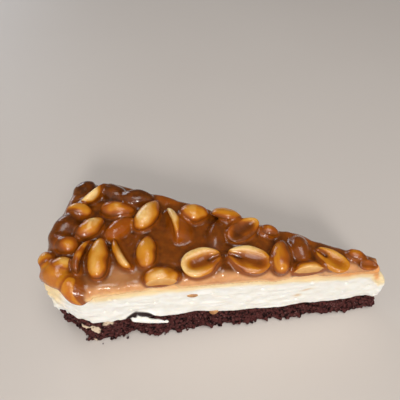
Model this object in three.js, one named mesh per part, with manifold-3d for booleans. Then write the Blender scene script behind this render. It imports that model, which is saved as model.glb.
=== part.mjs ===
// A slice of caramel peanut cheesecake: a chocolate crumb crust, a white cream filling, and
// a caramel topping with roasted peanut kernels set into it.
// Millimetres, +Z up. The origin lies on the crust's flat underside, halfway along the slice.
// The slice points along +X. Its front cut face looks towards -Y and its back one towards +Y.

import * as THREE from 'three';
import { mergeVertices } from 'three/addons/utils/BufferGeometryUtils.js';
import Module from 'manifold-3d';

const wasm = await Module();
wasm.setup();

const { degToRad, lerp, smoothstep } = THREE.MathUtils;

// Plan of the slice: two cut faces that would meet at the apex, and a round rim
const CAKE_RADIUS = 124;
const HALF_ANGLE = degToRad(13.15);
const APEX_X = 59.4;
const TIP_HALF_WIDTH = 1.3;
const BEVEL_RADIUS = 112;       // where the crushed front corner leaves the front cut face
const BEVEL_RIM_ANGLE = degToRad(9.3);
const LOW_TIP_X = 62.6;         // the crust and the lower cream reach past the apex
const LOW_TIP_Y = 1.6;          // and a little towards the back
const HIGH_TIP_X = 57.2;        // the top of the cream and the caramel are drawn back
const TIP_LEAN_FROM_Z = 18.5;
const TIP_LEAN_TO_Z = 27;

// Heights of the layers at the tip and at the rim
const CRUST_TOP_AT_TIP = 7.5;
const CRUST_TOP_AT_RIM = 11;
const CREAM_TOP_AT_TIP = 29.7;
const CREAM_TOP_AT_RIM = 32.5;
const CARAMEL_THICK = 4.3;
const CARAMEL_LIP = 1.7;        // height of the caramel's edge above the cream
const CORNER_ROUNDING = 2;      // how far the caramel's back corner is drawn in
const CARAMEL_SHOULDER = 2.1;   // how fast the caramel rises from its lip to full height
const GAP = 0.3;                // clearance between pieces that touch

// Relief of the sides
const CRUST_FLARE = 2.1;        // how far the crust's foot stands out at the cut faces
const CRUST_RIM_INSET = 1.2;    // and how far it is drawn in at the rim
const CRUST_CRAG = 0.75;
const CREAM_DRAG = 0.35;
const CREAM_RIM_BULGE = 0.5;
const CRUST_SEAM = 81;          // seeds of the two edges between layers
const CREAM_SEAM = 82;

// Peanut kernels
const KERNEL_THICK_RATIO = 0.93;  // a whole kernel's thickness over its width
const KERNEL_FULLNESS = 2.3;      // above 2 the ends are blunter than an ellipse's
const KERNEL_TAPER = 0.24;        // how much narrower the pointed end is
const HALF_HOLLOW = 0.55;         // depth of the dip in a split kernel's flat face
const HALF_END_DROP = 0.7;        // how far a split kernel's ends lie under its flat face
const CUT_PROUD = 0.3;            // how far a sliced kernel's cut stands out of the cut face
const FILM = 0.45;                // caramel over a kernel that is wholly coated
const MENISCUS_RISE = 1.5;
const MENISCUS_REACH = 1.5;

// Fineness of the meshes
const STATIONS = 50;
const RIM_POINTS = 22;
const TOP_SPACING = 2.5;
const KERNEL_RINGS = 5;
const KERNEL_SIDES = 10;

// Placement of the kernels that show, in mm and degrees. Rise is the height of the centre
// above the caramel's plateau. Heading is the pointed end's direction in plan, pitch lifts
// the pointed end, and roll turns the kernel about its length. A split kernel's flat face
// looks up at roll 0. A sunk one reaches into the cream.
const KERNELS = [
  {
    name: 'peanut_half_back_corner', kind: 'half', x: -55.2, y: 16.9, rise: 1, heading: 57,
    length: 12.6, width: 8.6, pitch: 4, roll: -62,
  },
  {
    name: 'peanut_whole_rim_back', kind: 'whole', x: -57.2, y: 6.9, rise: 0.3, heading: 8,
    length: 10, width: 7.2, pitch: -4, roll: 0,
  },
  {
    name: 'peanut_whole_back_left', kind: 'whole', x: -43.1, y: 9.7, rise: 0.5, heading: 0,
    length: 13.5, width: 7.4, pitch: 0, roll: 15,
  },
  {
    name: 'peanut_whole_rim_middle', kind: 'whole', x: -51.0, y: -0.5, rise: 0.6, heading: 50,
    length: 12, width: 7.5, pitch: 3, roll: 0,
  },
  {
    name: 'peanut_whole_rim_front', kind: 'whole', x: -57.5, y: -8.4, rise: 0.2, heading: 172,
    length: 9.8, width: 7.4, pitch: 0, roll: 0,
  },
  {
    name: 'peanut_broken_rim', kind: 'whole', x: -62.6, y: -14.8, rise: -0.4, heading: 116,
    length: 6.8, width: 5.2, pitch: 0, roll: 0,
  },
  {
    name: 'peanut_whole_corner', kind: 'whole', x: -56.2, y: -17.2, rise: -0.1, heading: 40,
    length: 8.4, width: 6.6, pitch: -4, roll: 0,
  },
  {
    name: 'peanut_half_left_edge', kind: 'half', x: -48.8, y: -13.0, rise: 0.7, heading: 84,
    length: 13.5, width: 8, pitch: 4, roll: 72,
  },
  {
    name: 'peanut_whole_left_front', kind: 'whole', x: -44.3, y: -12.7, rise: 0.6, heading: 98,
    length: 16.1, width: 7.6, pitch: 6, roll: 0,
  },
  {
    name: 'peanut_half_left_ridge', kind: 'half', x: -35.9, y: -9.6, rise: 0.6, heading: 128,
    length: 14, width: 8, pitch: 5, roll: 58,
  },
  {
    name: 'peanut_whole_middle_left', kind: 'whole', x: -28.1, y: -8.6, rise: 0.5, heading: 97,
    length: 13.5, width: 7.6, pitch: 4, roll: 0,
  },
  {
    name: 'peanut_whole_bright', kind: 'whole', x: -31.1, y: 7.7, rise: 0.9, heading: 70,
    length: 15, width: 8.4, pitch: 4, roll: 0,
  },
  {
    name: 'peanut_half_middle_ridge', kind: 'half', x: -21.7, y: 4.4, rise: 0.7, heading: 112,
    length: 15.5, width: 9.4, pitch: 5, roll: -58,
  },
  {
    name: 'peanut_whole_back_middle', kind: 'whole', x: -13.7, y: 11.0, rise: 0.6, heading: 12,
    length: 11.4, width: 8.4, pitch: 0, roll: 0,
  },
  {
    name: 'peanut_half_back_edge', kind: 'half', x: -0.9, y: 11.6, rise: 0.4, heading: 350,
    length: 12, width: 7.4, pitch: 0, roll: 150,
  },
  {
    name: 'peanut_half_back_open', kind: 'half', x: 5.6, y: 5.5, rise: 2.3, heading: 42,
    length: 14.6, width: 8.6, pitch: 2, roll: 14,
  },
  {
    name: 'peanut_half_front_open', kind: 'half', x: -8.8, y: -10.5, rise: 2.1, heading: 28,
    length: 14.7, width: 10.6, pitch: 2, roll: 10,
  },
  {
    name: 'peanut_half_front_notched', kind: 'half', x: 7.8, y: -7.0, rise: 2.2, heading: 172,
    length: 15.5, width: 10.6, pitch: 4, roll: -8,
  },
  {
    name: 'peanut_whole_orange', kind: 'whole', x: 19.5, y: -4.0, rise: 0.5, heading: 86,
    length: 14, width: 7.6, pitch: 3, roll: 0,
  },
  {
    name: 'peanut_broken_back', kind: 'whole', x: 15.2, y: 7.3, rise: -0.2, heading: 354,
    length: 7.6, width: 5.4, pitch: 0, roll: 0,
  },
  {
    name: 'peanut_half_near_tip', kind: 'half', x: 37.9, y: -2.8, rise: 1.7, heading: 146,
    length: 13, width: 8, pitch: 2, roll: -6,
  },
  {
    name: 'peanut_whole_tip_back', kind: 'whole', x: 47.3, y: 0.5, rise: -0.2, heading: 350,
    length: 7.8, width: 4.9, pitch: -3, roll: 0,
  },
  {
    name: 'peanut_half_tip', kind: 'half', x: 51.1, y: -3.4, rise: 0.3, heading: 6,
    length: 7.2, width: 4, pitch: -4, roll: 24,
  },
  {
    name: 'peanut_cut_front_right', kind: 'whole', x: 29.3, y: -7.1, rise: -1, heading: 12,
    length: 11.8, width: 6.6, pitch: 2, roll: 0, cut: 'front',
  },
  {
    name: 'peanut_cut_front_middle', kind: 'whole', x: -21.7, y: -17.3, rise: -0.8, heading: 12,
    length: 12.5, width: 7.4, pitch: 0, roll: 0, cut: 'front',
  },
  {
    name: 'peanut_corner_overhang', kind: 'whole', x: -50.9, y: -23.7, rise: -3.9, heading: 326,
    length: 12, width: 7.7, pitch: -36, roll: 0, sunk: true,
  },
  {
    name: 'peanut_cut_back_left', kind: 'whole', x: -25.2, y: 18.0, rise: -1.9, heading: 344,
    length: 12, width: 4.8, pitch: 0, roll: 0, cut: 'back',
  },
  {
    name: 'peanut_cut_back_right', kind: 'whole', x: 27.4, y: 6.2, rise: -1.9, heading: 340,
    length: 11.5, width: 4.8, pitch: 0, roll: 0, cut: 'back',
  },
];

// Kernels that lie wholly under the caramel, and show as lumps in it
const LUMPS = [
  { x: -60.2, y: 0.6, rise: 0.2, heading: 61, length: 10.5, width: 7.6, pitch: 0, roll: 0 },
  { x: -61.4, y: -5.9, rise: -0.2, heading: 300, length: 8.0, width: 6.2, pitch: 0, roll: 0 },
  { x: -57.6, y: -19.9, rise: -1.6, heading: 334, length: 10.0, width: 6.8, pitch: 0, roll: 0, sunk: true },
  { x: -40.2, y: 1.2, rise: 0.0, heading: 52, length: 12.0, width: 6.6, pitch: 0, roll: 0 },
  { x: -36.8, y: 16.4, rise: 0.4, heading: 8, length: 12.5, width: 7.4, pitch: 0, roll: 0 },
  { x: -46.4, y: 18.6, rise: 0.0, heading: 337, length: 11.5, width: 7.0, pitch: 0, roll: 0 },
  { x: 26.6, y: 1.2, rise: 0.0, heading: 284, length: 10.0, width: 6.4, pitch: 0, roll: 0 },
  { x: -4.4, y: 2.6, rise: -0.3, heading: 266, length: 12.0, width: 6.4, pitch: 0, roll: 0 },
  { x: -1.0, y: -9.2, rise: -0.3, heading: 90, length: 11.0, width: 6.2, pitch: 0, roll: 0 },
];

// Crumbs that stand proud of the foot of the front face, by their place along it
const FOOT_CRUMBS = [
  { x: -47, out: 0.5, reach: 4.5 },
  { x: -39.5, out: 0.9, reach: 2 },
  { x: -24.5, out: 1.8, reach: 2.6 },
  { x: 29, out: 0.9, reach: 3 },
];

// A bell curve of height 1 about a middle, which falls off over its reach.
function bell(value, middle, reach) {
  return Math.exp(-(((value - middle) / reach) ** 2));
}

// A fixed value between -1 and 1 for each whole number and seed.
function hash(index, seed) {
  const raw = Math.sin(index * 127.1 + seed * 311.7) * 43758.5453;
  return 2 * (raw - Math.floor(raw)) - 1;
}

// Smooth noise along a line, between -1 and 1.
function noise(place, seed) {
  const cell = Math.floor(place);
  const blend = smoothstep(place - cell, 0, 1);
  return lerp(hash(cell, seed), hash(cell + 1, seed), blend);
}

// The rim from the back corner (t = 1) to the front face (t = -1): a round stretch, and then
// the straight bevel of the crushed corner.
const BEVEL_START = new THREE.Vector2(
  APEX_X - BEVEL_RADIUS * Math.cos(HALF_ANGLE), -BEVEL_RADIUS * Math.sin(HALF_ANGLE));
const BEVEL_END = new THREE.Vector2(
  APEX_X - CAKE_RADIUS * Math.cos(BEVEL_RIM_ANGLE), -CAKE_RADIUS * Math.sin(BEVEL_RIM_ANGLE));
const RIM_ARC = CAKE_RADIUS * (HALF_ANGLE + BEVEL_RIM_ANGLE);
const RIM_LENGTH = RIM_ARC + BEVEL_START.distanceTo(BEVEL_END);

function rimPoint(t) {
  const along = RIM_LENGTH * (1 - t) / 2;
  if (along <= RIM_ARC) {
    const angle = HALF_ANGLE - along / CAKE_RADIUS;
    return new THREE.Vector2(
      APEX_X - CAKE_RADIUS * Math.cos(angle), CAKE_RADIUS * Math.sin(angle));
  }
  return BEVEL_END.clone().lerp(BEVEL_START, (along - RIM_ARC) / (RIM_LENGTH - RIM_ARC));
}

// A place in plan: s runs from the tip (0) to the rim (1), t from the front face (-1) to the
// back one (1). The tip is drawn back above the middle of the cream.
function planPoint(s, t, z) {
  const drawnBack = smoothstep(z, TIP_LEAN_FROM_Z, TIP_LEAN_TO_Z);
  const tipX = lerp(LOW_TIP_X, HIGH_TIP_X, drawnBack);
  const tipY = lerp(LOW_TIP_Y, 0, drawnBack);
  return new THREE.Vector2(tipX, tipY + t * TIP_HALF_WIDTH).lerp(rimPoint(t), s);
}

// Height of the faces between the layers. Side tells the front edge's waves from the back's.
function crustTop(s, side) {
  const wave = 0.45 * noise(s * 17, side + 3) + 0.3 * noise(s * 41, side + 5);
  return lerp(CRUST_TOP_AT_TIP, CRUST_TOP_AT_RIM, smoothstep(s, 0.4, 0.7)) + wave;
}

function creamTop(s, side) {
  const wave = 0.2 * noise(s * 13, side + 11);
  return lerp(CREAM_TOP_AT_TIP, CREAM_TOP_AT_RIM, smoothstep(s, 0.1, 0.7)) + wave;
}

// How far the edge between two layers wanders in and out, the same for both.
function seam(place, seed) {
  return 0.2 * noise(place.x * 0.35, seed);
}

// The boundary of the plan, counterclockwise from the tip: along the back face, round the
// rim, and back along the front face.
const LOOP = [];
for (let i = 0; i < STATIONS; i += 1) LOOP.push({ s: i / STATIONS, t: 1, face: 'back' });
for (let i = 0; i < RIM_POINTS; i += 1) {
  LOOP.push({ s: 1, t: 1 - 2 * i / RIM_POINTS, face: 'rim' });
}
for (let i = STATIONS; i >= 0; i -= 1) LOOP.push({ s: i / STATIONS, t: -1, face: 'front' });

const SIDE = { back: 1, rim: 2, front: 3 };

// One ring of a layer's wall. Height and outward offset are functions of the loop's point.
function ring(height, offset) {
  const flat = LOOP.map((point) => planPoint(point.s, point.t, height(point)));
  return LOOP.map((point, index) => {
    const before = flat[(index + flat.length - 1) % flat.length];
    const after = flat[(index + 1) % flat.length];
    const run = after.clone().sub(before).normalize();
    const out = offset(point, flat[index]);
    return new THREE.Vector3(
      flat[index].x + run.y * out, flat[index].y - run.x * out, height(point));
  });
}

// A mesh under way: its corners and its triangles.
class Shell {
  constructor() {
    this.corners = [];
    this.faces = [];
    this.flipped = false;
  }

  add(point) {
    this.corners.push(point);
    return this.corners.length - 1;
  }

  face(a, b, c) {
    if (a !== b && b !== c && a !== c) this.faces.push(this.flipped ? [a, c, b] : [a, b, c]);
  }

  // Joins two open rows of corners that run side by side, the second to the left.
  stitch(right, left) {
    let i = 0;
    let j = 0;
    while (i < right.length - 1 || j < left.length - 1) {
      const stepRight = (i + 1) / (right.length - 1 || 1);
      const stepLeft = (j + 1) / (left.length - 1 || 1);
      if (j === left.length - 1 || (i < right.length - 1 && stepRight <= stepLeft)) {
        this.face(right[i], right[i + 1], left[j]);
        i += 1;
      } else {
        this.face(right[i], left[j + 1], left[j]);
        j += 1;
      }
    }
  }

  geometry() {
    const geometry = new THREE.BufferGeometry();
    const values = new Float32Array(this.corners.flatMap((corner) => corner.toArray()));
    geometry.setAttribute('position', new THREE.BufferAttribute(values, 3));
    geometry.setIndex(this.faces.flat());
    return mergeVertices(geometry, 1e-4);
  }
}

// Adds the wall between stacked rings and returns the corner numbers of each ring.
function addWall(shell, rings) {
  const numbers = rings.map((points) => points.map((point) => shell.add(point)));
  for (let k = 0; k + 1 < numbers.length; k += 1) {
    const low = numbers[k];
    const high = numbers[k + 1];
    for (let i = 0; i < low.length; i += 1) {
      const next = (i + 1) % low.length;
      shell.face(low[i], low[next], high[next]);
      shell.face(low[i], high[next], high[i]);
    }
  }
  return numbers;
}

// The loop's corners as rows from the back face to the front face, one row a station, and
// the rim as the last row.
function loopRows(numbers) {
  const rows = [];
  for (let i = 0; i < STATIONS; i += 1) {
    rows.push([numbers[i], numbers[numbers.length - 1 - i]]);
  }
  const rimStart = STATIONS;
  rows.push(numbers.slice(rimStart, rimStart + RIM_POINTS + 1));
  return rows;
}

// Closes a ring with a cap that has no corners inside. Caps that look up and down have the
// same triangles, so that two layers meet evenly.
function addPlainCap(shell, numbers, faceUp) {
  const rows = loopRows(numbers);
  shell.flipped = !faceUp;
  for (let i = 0; i + 1 < rows.length; i += 1) shell.stitch(rows[i + 1], rows[i]);
  shell.flipped = false;
}

// Closes a ring with an upward cap whose inner corners take their height from a function.
function addReliefCap(shell, numbers, levelZ, height) {
  const edges = loopRows(numbers);
  const rows = edges.map((edge, i) => {
    if (i === edges.length - 1) return edge;
    const s = i / STATIONS;
    const span = planPoint(s, 1, levelZ).distanceTo(planPoint(s, -1, levelZ));
    const columns = Math.max(1, Math.round(span / TOP_SPACING));
    const row = [edge[0]];
    for (let k = 1; k < columns; k += 1) {
      const t = 1 - 2 * k / columns;
      const place = planPoint(s, t, levelZ);
      row.push(shell.add(new THREE.Vector3(place.x, place.y, height(s, t, place))));
    }
    row.push(edge[1]);
    return row;
  });
  for (let i = 0; i + 1 < rows.length; i += 1) shell.stitch(rows[i + 1], rows[i]);
}

// The crust: craggy sides, a foot that flares, and crumbs standing out at the front
function crustOffset(level, seed) {
  return (point, place) => {
    if (level === 1) return seam(place, CRUST_SEAM);
    const crag = CRUST_CRAG * (noise(place.x * 0.45 + seed, SIDE[point.face] + 21)
      + 0.6 * noise(place.y * 0.7 + place.x * 0.9, seed + 31));
    const fromCorner = point.face === 'rim' ? (1 - Math.abs(point.t)) * RIM_LENGTH / 2 : 0;
    const flare = lerp(CRUST_FLARE * (1 - level) ** 1.5, -CRUST_RIM_INSET * (1 - level),
      smoothstep(fromCorner, 0, 8));
    let crumbs = 0;
    if (point.face === 'front') {
      FOOT_CRUMBS.forEach((crumb) => {
        crumbs += crumb.out * bell(place.x, crumb.x, crumb.reach) * (1 - level * level);
      });
      crumbs -= 2.2 * bell(place.x, -33.5, 3.4) * (1 - level);
    }
    return flare + crag + crumbs - 0.4 * level;
  };
}

function buildCrust() {
  const shell = new Shell();
  const levels = [0, 0.22, 0.5, 0.78, 1];
  const rings = levels.map((level, k) => ring(
    (point) => level * crustTop(point.s, SIDE[point.face]), crustOffset(level, k * 1.7)));
  const numbers = addWall(shell, rings);
  addPlainCap(shell, numbers[0], false);
  addPlainCap(shell, numbers[numbers.length - 1], true);
  return shell.geometry();
}

// The cream: knife drags on the cut faces, a bulge at the rim, a nose under the tip, and a
// loose flake with a slit over it at the foot of the front face
function creamOffset(level, seed) {
  return (point, place) => {
    if (level === 0) return seam(place, CRUST_SEAM);
    if (level === 1) return seam(place, CREAM_SEAM);
    let out = CREAM_DRAG * noise(place.x * 0.3 + seed * 2.3, SIDE[point.face] + 41);
    const middle = Math.sin(Math.PI * level);
    if (point.face === 'rim') out += CREAM_RIM_BULGE * middle + 0.5 * noise(place.y * 0.4, seed + 51);
    if (point.face === 'front') {
      out += 0.9 * bell(place.x, -24, 9) * bell(level, 0.08, 0.09);
      out -= 1.6 * bell(place.x, -29, 5) * bell(level, 0.22, 0.06);
    }
    out += 0.9 * bell(point.s, 0, 0.03) * middle;
    return out;
  };
}

function buildCreamBody() {
  const shell = new Shell();
  const levels = [0, 0.08, 0.22, 0.36, 0.52, 0.68, 0.84, 1];
  const rings = levels.map((level, k) => ring(
    (point) => lerp(crustTop(point.s, SIDE[point.face]) + GAP,
      creamTop(point.s, SIDE[point.face]), level),
    creamOffset(level, k)));
  const numbers = addWall(shell, rings);
  addPlainCap(shell, numbers[0], false);
  addPlainCap(shell, numbers[numbers.length - 1], true);
  return shell.geometry();
}

// The cream with room for the kernels that sink into its top.
function buildCream() {
  let solid = toSolid(buildCreamBody());
  KERNELS.filter((kernel) => kernel.sunk).forEach((kernel) => {
    solid = solid.subtract(placedKernel(kernel, GAP));
  });
  LUMPS.filter((lump) => lump.sunk).forEach((lump) => {
    solid = solid.subtract(placedKernel(lump, FILM + GAP));
  });
  return toGeometry(largestBody(solid));
}

// Half the width of a kernel at a place u along it, from the blunt end (0) to the pointed
// end (1), as a share of its greatest half width.
function kernelProfile(u) {
  const body = (1 - Math.abs(2 * u - 1) ** KERNEL_FULLNESS) ** 0.48;
  return body * (1 - KERNEL_TAPER * smoothstep(u, 0.5, 1));
}

// A kernel's surface as rings round its length, grown outwards by a margin. A whole kernel
// is round, and a split one is its lower half under a flat face with a shallow dip.
function kernelGeometry(kernel, margin) {
  const shell = new Shell();
  const isHalf = kernel.kind === 'half';
  const reach = kernel.length / 2 + margin;
  const shares = [];
  for (let i = 1; i <= KERNEL_RINGS; i += 1) {
    shares.push(0.5 - 0.5 * Math.cos(Math.PI * i / (KERNEL_RINGS + 1)));
  }
  const rings = shares.map((u) => {
    const wide = kernel.width / 2 * kernelProfile(u) + margin;
    const deep = kernel.width / 2 * KERNEL_THICK_RATIO * kernelProfile(u) + margin;
    const numbers = [];
    for (let k = 0; k < KERNEL_SIDES; k += 1) {
      let y = wide * Math.cos(2 * Math.PI * k / KERNEL_SIDES);
      let z = deep * Math.sin(2 * Math.PI * k / KERNEL_SIDES);
      if (isHalf && z > -1e-6) {
        const inward = 1 - (y / wide) ** 2;
        z = margin - HALF_HOLLOW * inward * kernelProfile(u);
      }
      numbers.push(shell.add(new THREE.Vector3(lerp(-reach, reach, u), y, z)));
    }
    return numbers;
  });
  const endZ = isHalf ? -HALF_END_DROP : 0;
  const blunt = shell.add(new THREE.Vector3(-reach, 0, endZ));
  const sharp = shell.add(new THREE.Vector3(reach, 0, endZ));
  for (let k = 0; k < KERNEL_SIDES; k += 1) {
    const next = (k + 1) % KERNEL_SIDES;
    shell.face(blunt, rings[0][next], rings[0][k]);
    shell.face(sharp, rings[KERNEL_RINGS - 1][k], rings[KERNEL_RINGS - 1][next]);
    for (let i = 0; i + 1 < KERNEL_RINGS; i += 1) {
      shell.face(rings[i][k], rings[i][next], rings[i + 1][next]);
      shell.face(rings[i][k], rings[i + 1][next], rings[i + 1][k]);
    }
  }
  return shell.geometry();
}

// The share s of a place in plan, counted from the tip.
function shareAt(x, y) {
  return THREE.MathUtils.clamp(Math.hypot(APEX_X - x, y) / CAKE_RADIUS, 0, 1);
}

function plateauAt(x, y) {
  return creamTop(shareAt(x, y), 0) + GAP + CARAMEL_THICK;
}

function kernelMatrix(kernel) {
  const turn = new THREE.Euler(
    degToRad(kernel.roll), degToRad(-kernel.pitch), degToRad(kernel.heading), 'ZYX');
  const place = new THREE.Vector3(kernel.x, kernel.y, plateauAt(kernel.x, kernel.y) + kernel.rise);
  return new THREE.Matrix4().compose(
    place, new THREE.Quaternion().setFromEuler(turn), new THREE.Vector3(1, 1, 1));
}

// Solids for joining and cutting
function toSolid(geometry, matrix) {
  const source = geometry.clone();
  if (matrix) source.applyMatrix4(matrix);
  return new wasm.Manifold(new wasm.Mesh({
    numProp: 3,
    vertProperties: new Float32Array(source.attributes.position.array),
    triVerts: new Uint32Array(source.index.array),
  }));
}

function toGeometry(solid) {
  const mesh = solid.getMesh();
  const geometry = new THREE.BufferGeometry();
  geometry.setAttribute('position', new THREE.BufferAttribute(new Float32Array(mesh.vertProperties), 3));
  geometry.setIndex([...mesh.triVerts]);
  return geometry;
}

// The one body that is left when loose scraps are dropped.
function largestBody(solid) {
  return solid.decompose().reduce((best, next) => (next.volume() > best.volume() ? next : best));
}

// A block that fills the space outside one cut face, to trim what the knife went through.
function outsideOfCut(face, margin) {
  const side = face === 'front' ? -1 : 1;
  const corner = side < 0 ? BEVEL_START : rimPoint(1);
  const tip = new THREE.Vector2(HIGH_TIP_X, side * TIP_HALF_WIDTH);
  const run = tip.clone().sub(corner).normalize();
  const out = new THREE.Vector2(-run.y, run.x).multiplyScalar(side);
  const size = 300;
  const block = mergeVertices(new THREE.BoxGeometry(size, size, size)
    .deleteAttribute('normal').deleteAttribute('uv'));
  const middle = corner.clone().add(out.clone().multiplyScalar(size / 2 + margin));
  const matrix = new THREE.Matrix4().makeRotationZ(Math.atan2(run.y, run.x));
  matrix.setPosition(middle.x, middle.y, 0);
  return toSolid(block, matrix);
}

// A kernel where it lies, grown outwards by a margin.
function placedKernel(kernel, margin) {
  return toSolid(kernelGeometry(kernel, margin), kernelMatrix(kernel));
}

// A kernel as it is, trimmed flat where the knife went through it.
function kernelSolid(kernel) {
  const whole = placedKernel(kernel, 0);
  return kernel.cut ? whole.subtract(outsideOfCut(kernel.cut, CUT_PROUD)) : whole;
}

// How far caramel climbs at a place because a kernel stands near it.
function meniscus(x, y) {
  let rise = 0;
  [...KERNELS, ...LUMPS].forEach((kernel) => {
    const turn = degToRad(-kernel.heading);
    const dx = x - kernel.x;
    const dy = y - kernel.y;
    const along = dx * Math.cos(turn) - dy * Math.sin(turn);
    const across = dx * Math.sin(turn) + dy * Math.cos(turn);
    const round = Math.hypot(along / (kernel.length / 2), across / (kernel.width / 2));
    const away = Math.max(0, round - 1) * kernel.width / 2;
    rise = Math.max(rise, MENISCUS_RISE * Math.exp(-away / MENISCUS_REACH));
  });
  return rise;
}

// The caramel's upper face: a rounded shoulder at the edges, a slope down to the front near
// the left end, gentle swells, and a climb at each kernel.
function caramelHeight(s, t, place) {
  const base = creamTop(s, 0) + GAP;
  const halfWidth = s * CAKE_RADIUS * Math.sin(HALF_ANGLE) + TIP_HALF_WIDTH;
  const toFace = (1 - Math.abs(t)) * halfWidth;
  const toRim = (1 - s) * CAKE_RADIUS;
  const toTip = s * CAKE_RADIUS + 0.8;
  const inside = Math.min(toFace, toRim, toTip);
  const shoulder = 1 - Math.exp(-inside / CARAMEL_SHOULDER);
  const full = CARAMEL_THICK + meniscus(place.x, place.y);
  const swell = 0.35 * noise(place.x * 0.16, 61) * noise(place.y * 0.19 + 7, 62);
  const fromFront = (1 + t) * halfWidth;
  const apron = 2.1 * bell(place.x, -35, 12) * (1 - smoothstep(fromFront, 1, 11));
  return base + CARAMEL_LIP + (full - CARAMEL_LIP + swell - apron) * shoulder;
}

function buildCaramel() {
  const shell = new Shell();
  const levels = [
    { up: 0, out: 0, atRim: 0 },
    { up: 0.5, out: 0.55, atRim: 0.1 },
    { up: 1, out: 0.15, atRim: -0.9 },
  ];
  const rings = levels.map((level, k) => ring(
    (point) => creamTop(point.s, SIDE[point.face]) + GAP + level.up * CARAMEL_LIP,
    (point, place) => {
      const out = point.face === 'rim' ? level.atRim : level.out;
      const wander = 0.3 * noise(place.x * 0.35 + place.y * 0.2 + k, SIDE[point.face] + 71);
      const rounding = CORNER_ROUNDING * bell(place.distanceTo(rimPoint(1)), 0, 4);
      return seam(place, CREAM_SEAM) + out + level.up * (wander - rounding);
    }));
  const numbers = addWall(shell, rings);
  addPlainCap(shell, numbers[0], false);
  addReliefCap(shell, numbers[numbers.length - 1], CREAM_TOP_AT_RIM, caramelHeight);
  let solid = toSolid(shell.geometry());
  LUMPS.forEach((lump) => {
    solid = solid.add(placedKernel(lump, FILM));
  });
  KERNELS.forEach((kernel) => {
    solid = solid.subtract(placedKernel(kernel, GAP));
  });
  return toGeometry(largestBody(solid));
}

const CRUST_MATERIAL = { color: 0x3c2423, roughness: 0.9, metalness: 0 };
const CREAM_MATERIAL = { color: 0xefe6d6, roughness: 0.55, metalness: 0 };
const CARAMEL_MATERIAL = { color: 0x7a4415, roughness: 0.12, metalness: 0 };
const PEANUT_MATERIAL = { color: 0xd79a4a, roughness: 0.3, metalness: 0 };

function addMesh(group, name, geometry, material) {
  const mesh = new THREE.Mesh(geometry, new THREE.MeshStandardMaterial(material));
  mesh.name = name;
  group.add(mesh);
}

const slice = new THREE.Group();

addMesh(slice, 'crust', buildCrust(), CRUST_MATERIAL);

addMesh(slice, 'cream', buildCream(), CREAM_MATERIAL);

addMesh(slice, 'caramel', buildCaramel(), CARAMEL_MATERIAL);

KERNELS.forEach((kernel) => {
  addMesh(slice, kernel.name, toGeometry(kernelSolid(kernel)), PEANUT_MATERIAL);
});

export default slice;
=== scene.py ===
"""Looks for a slice of caramel peanut cheesecake: a chocolate crumb crust, a white cream
filling, and a glossy caramel topping with roasted peanut kernels set into it.

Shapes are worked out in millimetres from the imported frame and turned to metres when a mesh
is made. The slice points along +X and its front cut face looks towards -Y.
"""

import logging
import math
from dataclasses import dataclass
from enum import Enum
from typing import Callable, Optional, Sequence, Union

import bpy
import numpy as np
import openvdb
from mathutils import Matrix, Vector

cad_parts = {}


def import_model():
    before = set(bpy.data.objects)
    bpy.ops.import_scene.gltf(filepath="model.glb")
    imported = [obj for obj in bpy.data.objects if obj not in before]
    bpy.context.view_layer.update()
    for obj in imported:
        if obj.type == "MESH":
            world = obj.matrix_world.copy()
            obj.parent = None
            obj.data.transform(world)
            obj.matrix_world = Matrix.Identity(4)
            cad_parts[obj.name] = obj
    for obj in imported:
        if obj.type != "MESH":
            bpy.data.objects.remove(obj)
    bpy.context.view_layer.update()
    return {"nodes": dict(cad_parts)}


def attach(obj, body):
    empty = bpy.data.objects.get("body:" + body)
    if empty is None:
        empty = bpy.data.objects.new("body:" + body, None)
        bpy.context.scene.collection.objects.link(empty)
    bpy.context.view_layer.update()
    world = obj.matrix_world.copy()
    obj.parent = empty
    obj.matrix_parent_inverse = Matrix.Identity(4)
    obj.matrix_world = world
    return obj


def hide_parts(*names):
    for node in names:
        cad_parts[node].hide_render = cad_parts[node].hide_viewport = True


log = logging.getLogger("cheesecake")

MM = 0.001
BODY = "root"
FRONT_CORNER = (57.2, -1.3)
FRONT_SLOPE = 0.2263
FAR = 1e3

Array = np.ndarray
Colour = tuple[float, float, float, float]
Triple = tuple[float, float, float]
Block = tuple[slice, slice, slice]
Mesh = tuple[Array, Array]
Marks = dict[str, Array]
Piece = bpy.types.Object
Material = bpy.types.Material
Port = bpy.types.NodeSocket
Source = Union[Port, float, Colour]
Sources = dict[str, Source]


def srgb(*channels: float) -> Colour:
    """Turns a colour as a screen shows it, 0 to 255, into the linear values of a shader."""
    shares = [value / 255 for value in channels]
    linear = [s / 12.92 if s <= 0.04045 else ((s + 0.055) / 1.055) ** 2.4 for s in shares]
    return (*linear, 1.0)


def soften(share: Array) -> Array:
    """Gives a share that starts and stops gently."""
    return share * share * (3 - 2 * share)


def ease(value: Array, low: float, high: float) -> Array:
    """Rises smoothly from 0 at the low value to 1 at the high one."""
    return soften(np.clip((value - low) / (high - low), 0, 1))


def bell(value: Array, middle: float, reach: float) -> Array:
    """Gives a curve of height 1 at the middle that falls off over its reach."""
    return np.exp(-(((value - middle) / reach) ** 2))


def smooth_min(a: Array, b: Array, blend: float) -> Array:
    """Joins two signed distances with a fillet of the given reach."""
    near = np.clip(blend - np.abs(a - b), 0, None) / blend
    return np.minimum(a, b) - near * near * blend / 4


def smooth_max(a: Array, b: Array, blend: float) -> Array:
    """Cuts two signed distances with a rounded edge of the given reach."""
    return -smooth_min(-a, -b, blend)


def round_max(a: Array, b: Array, radius: float) -> Array:
    """Cuts two signed distances with an edge of the given radius."""
    a, b = a + radius, b + radius
    rim = np.sqrt(np.clip(a, 0, None) ** 2 + np.clip(b, 0, None) ** 2)
    return np.minimum(np.maximum(a, b), 0) + rim - radius


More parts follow.
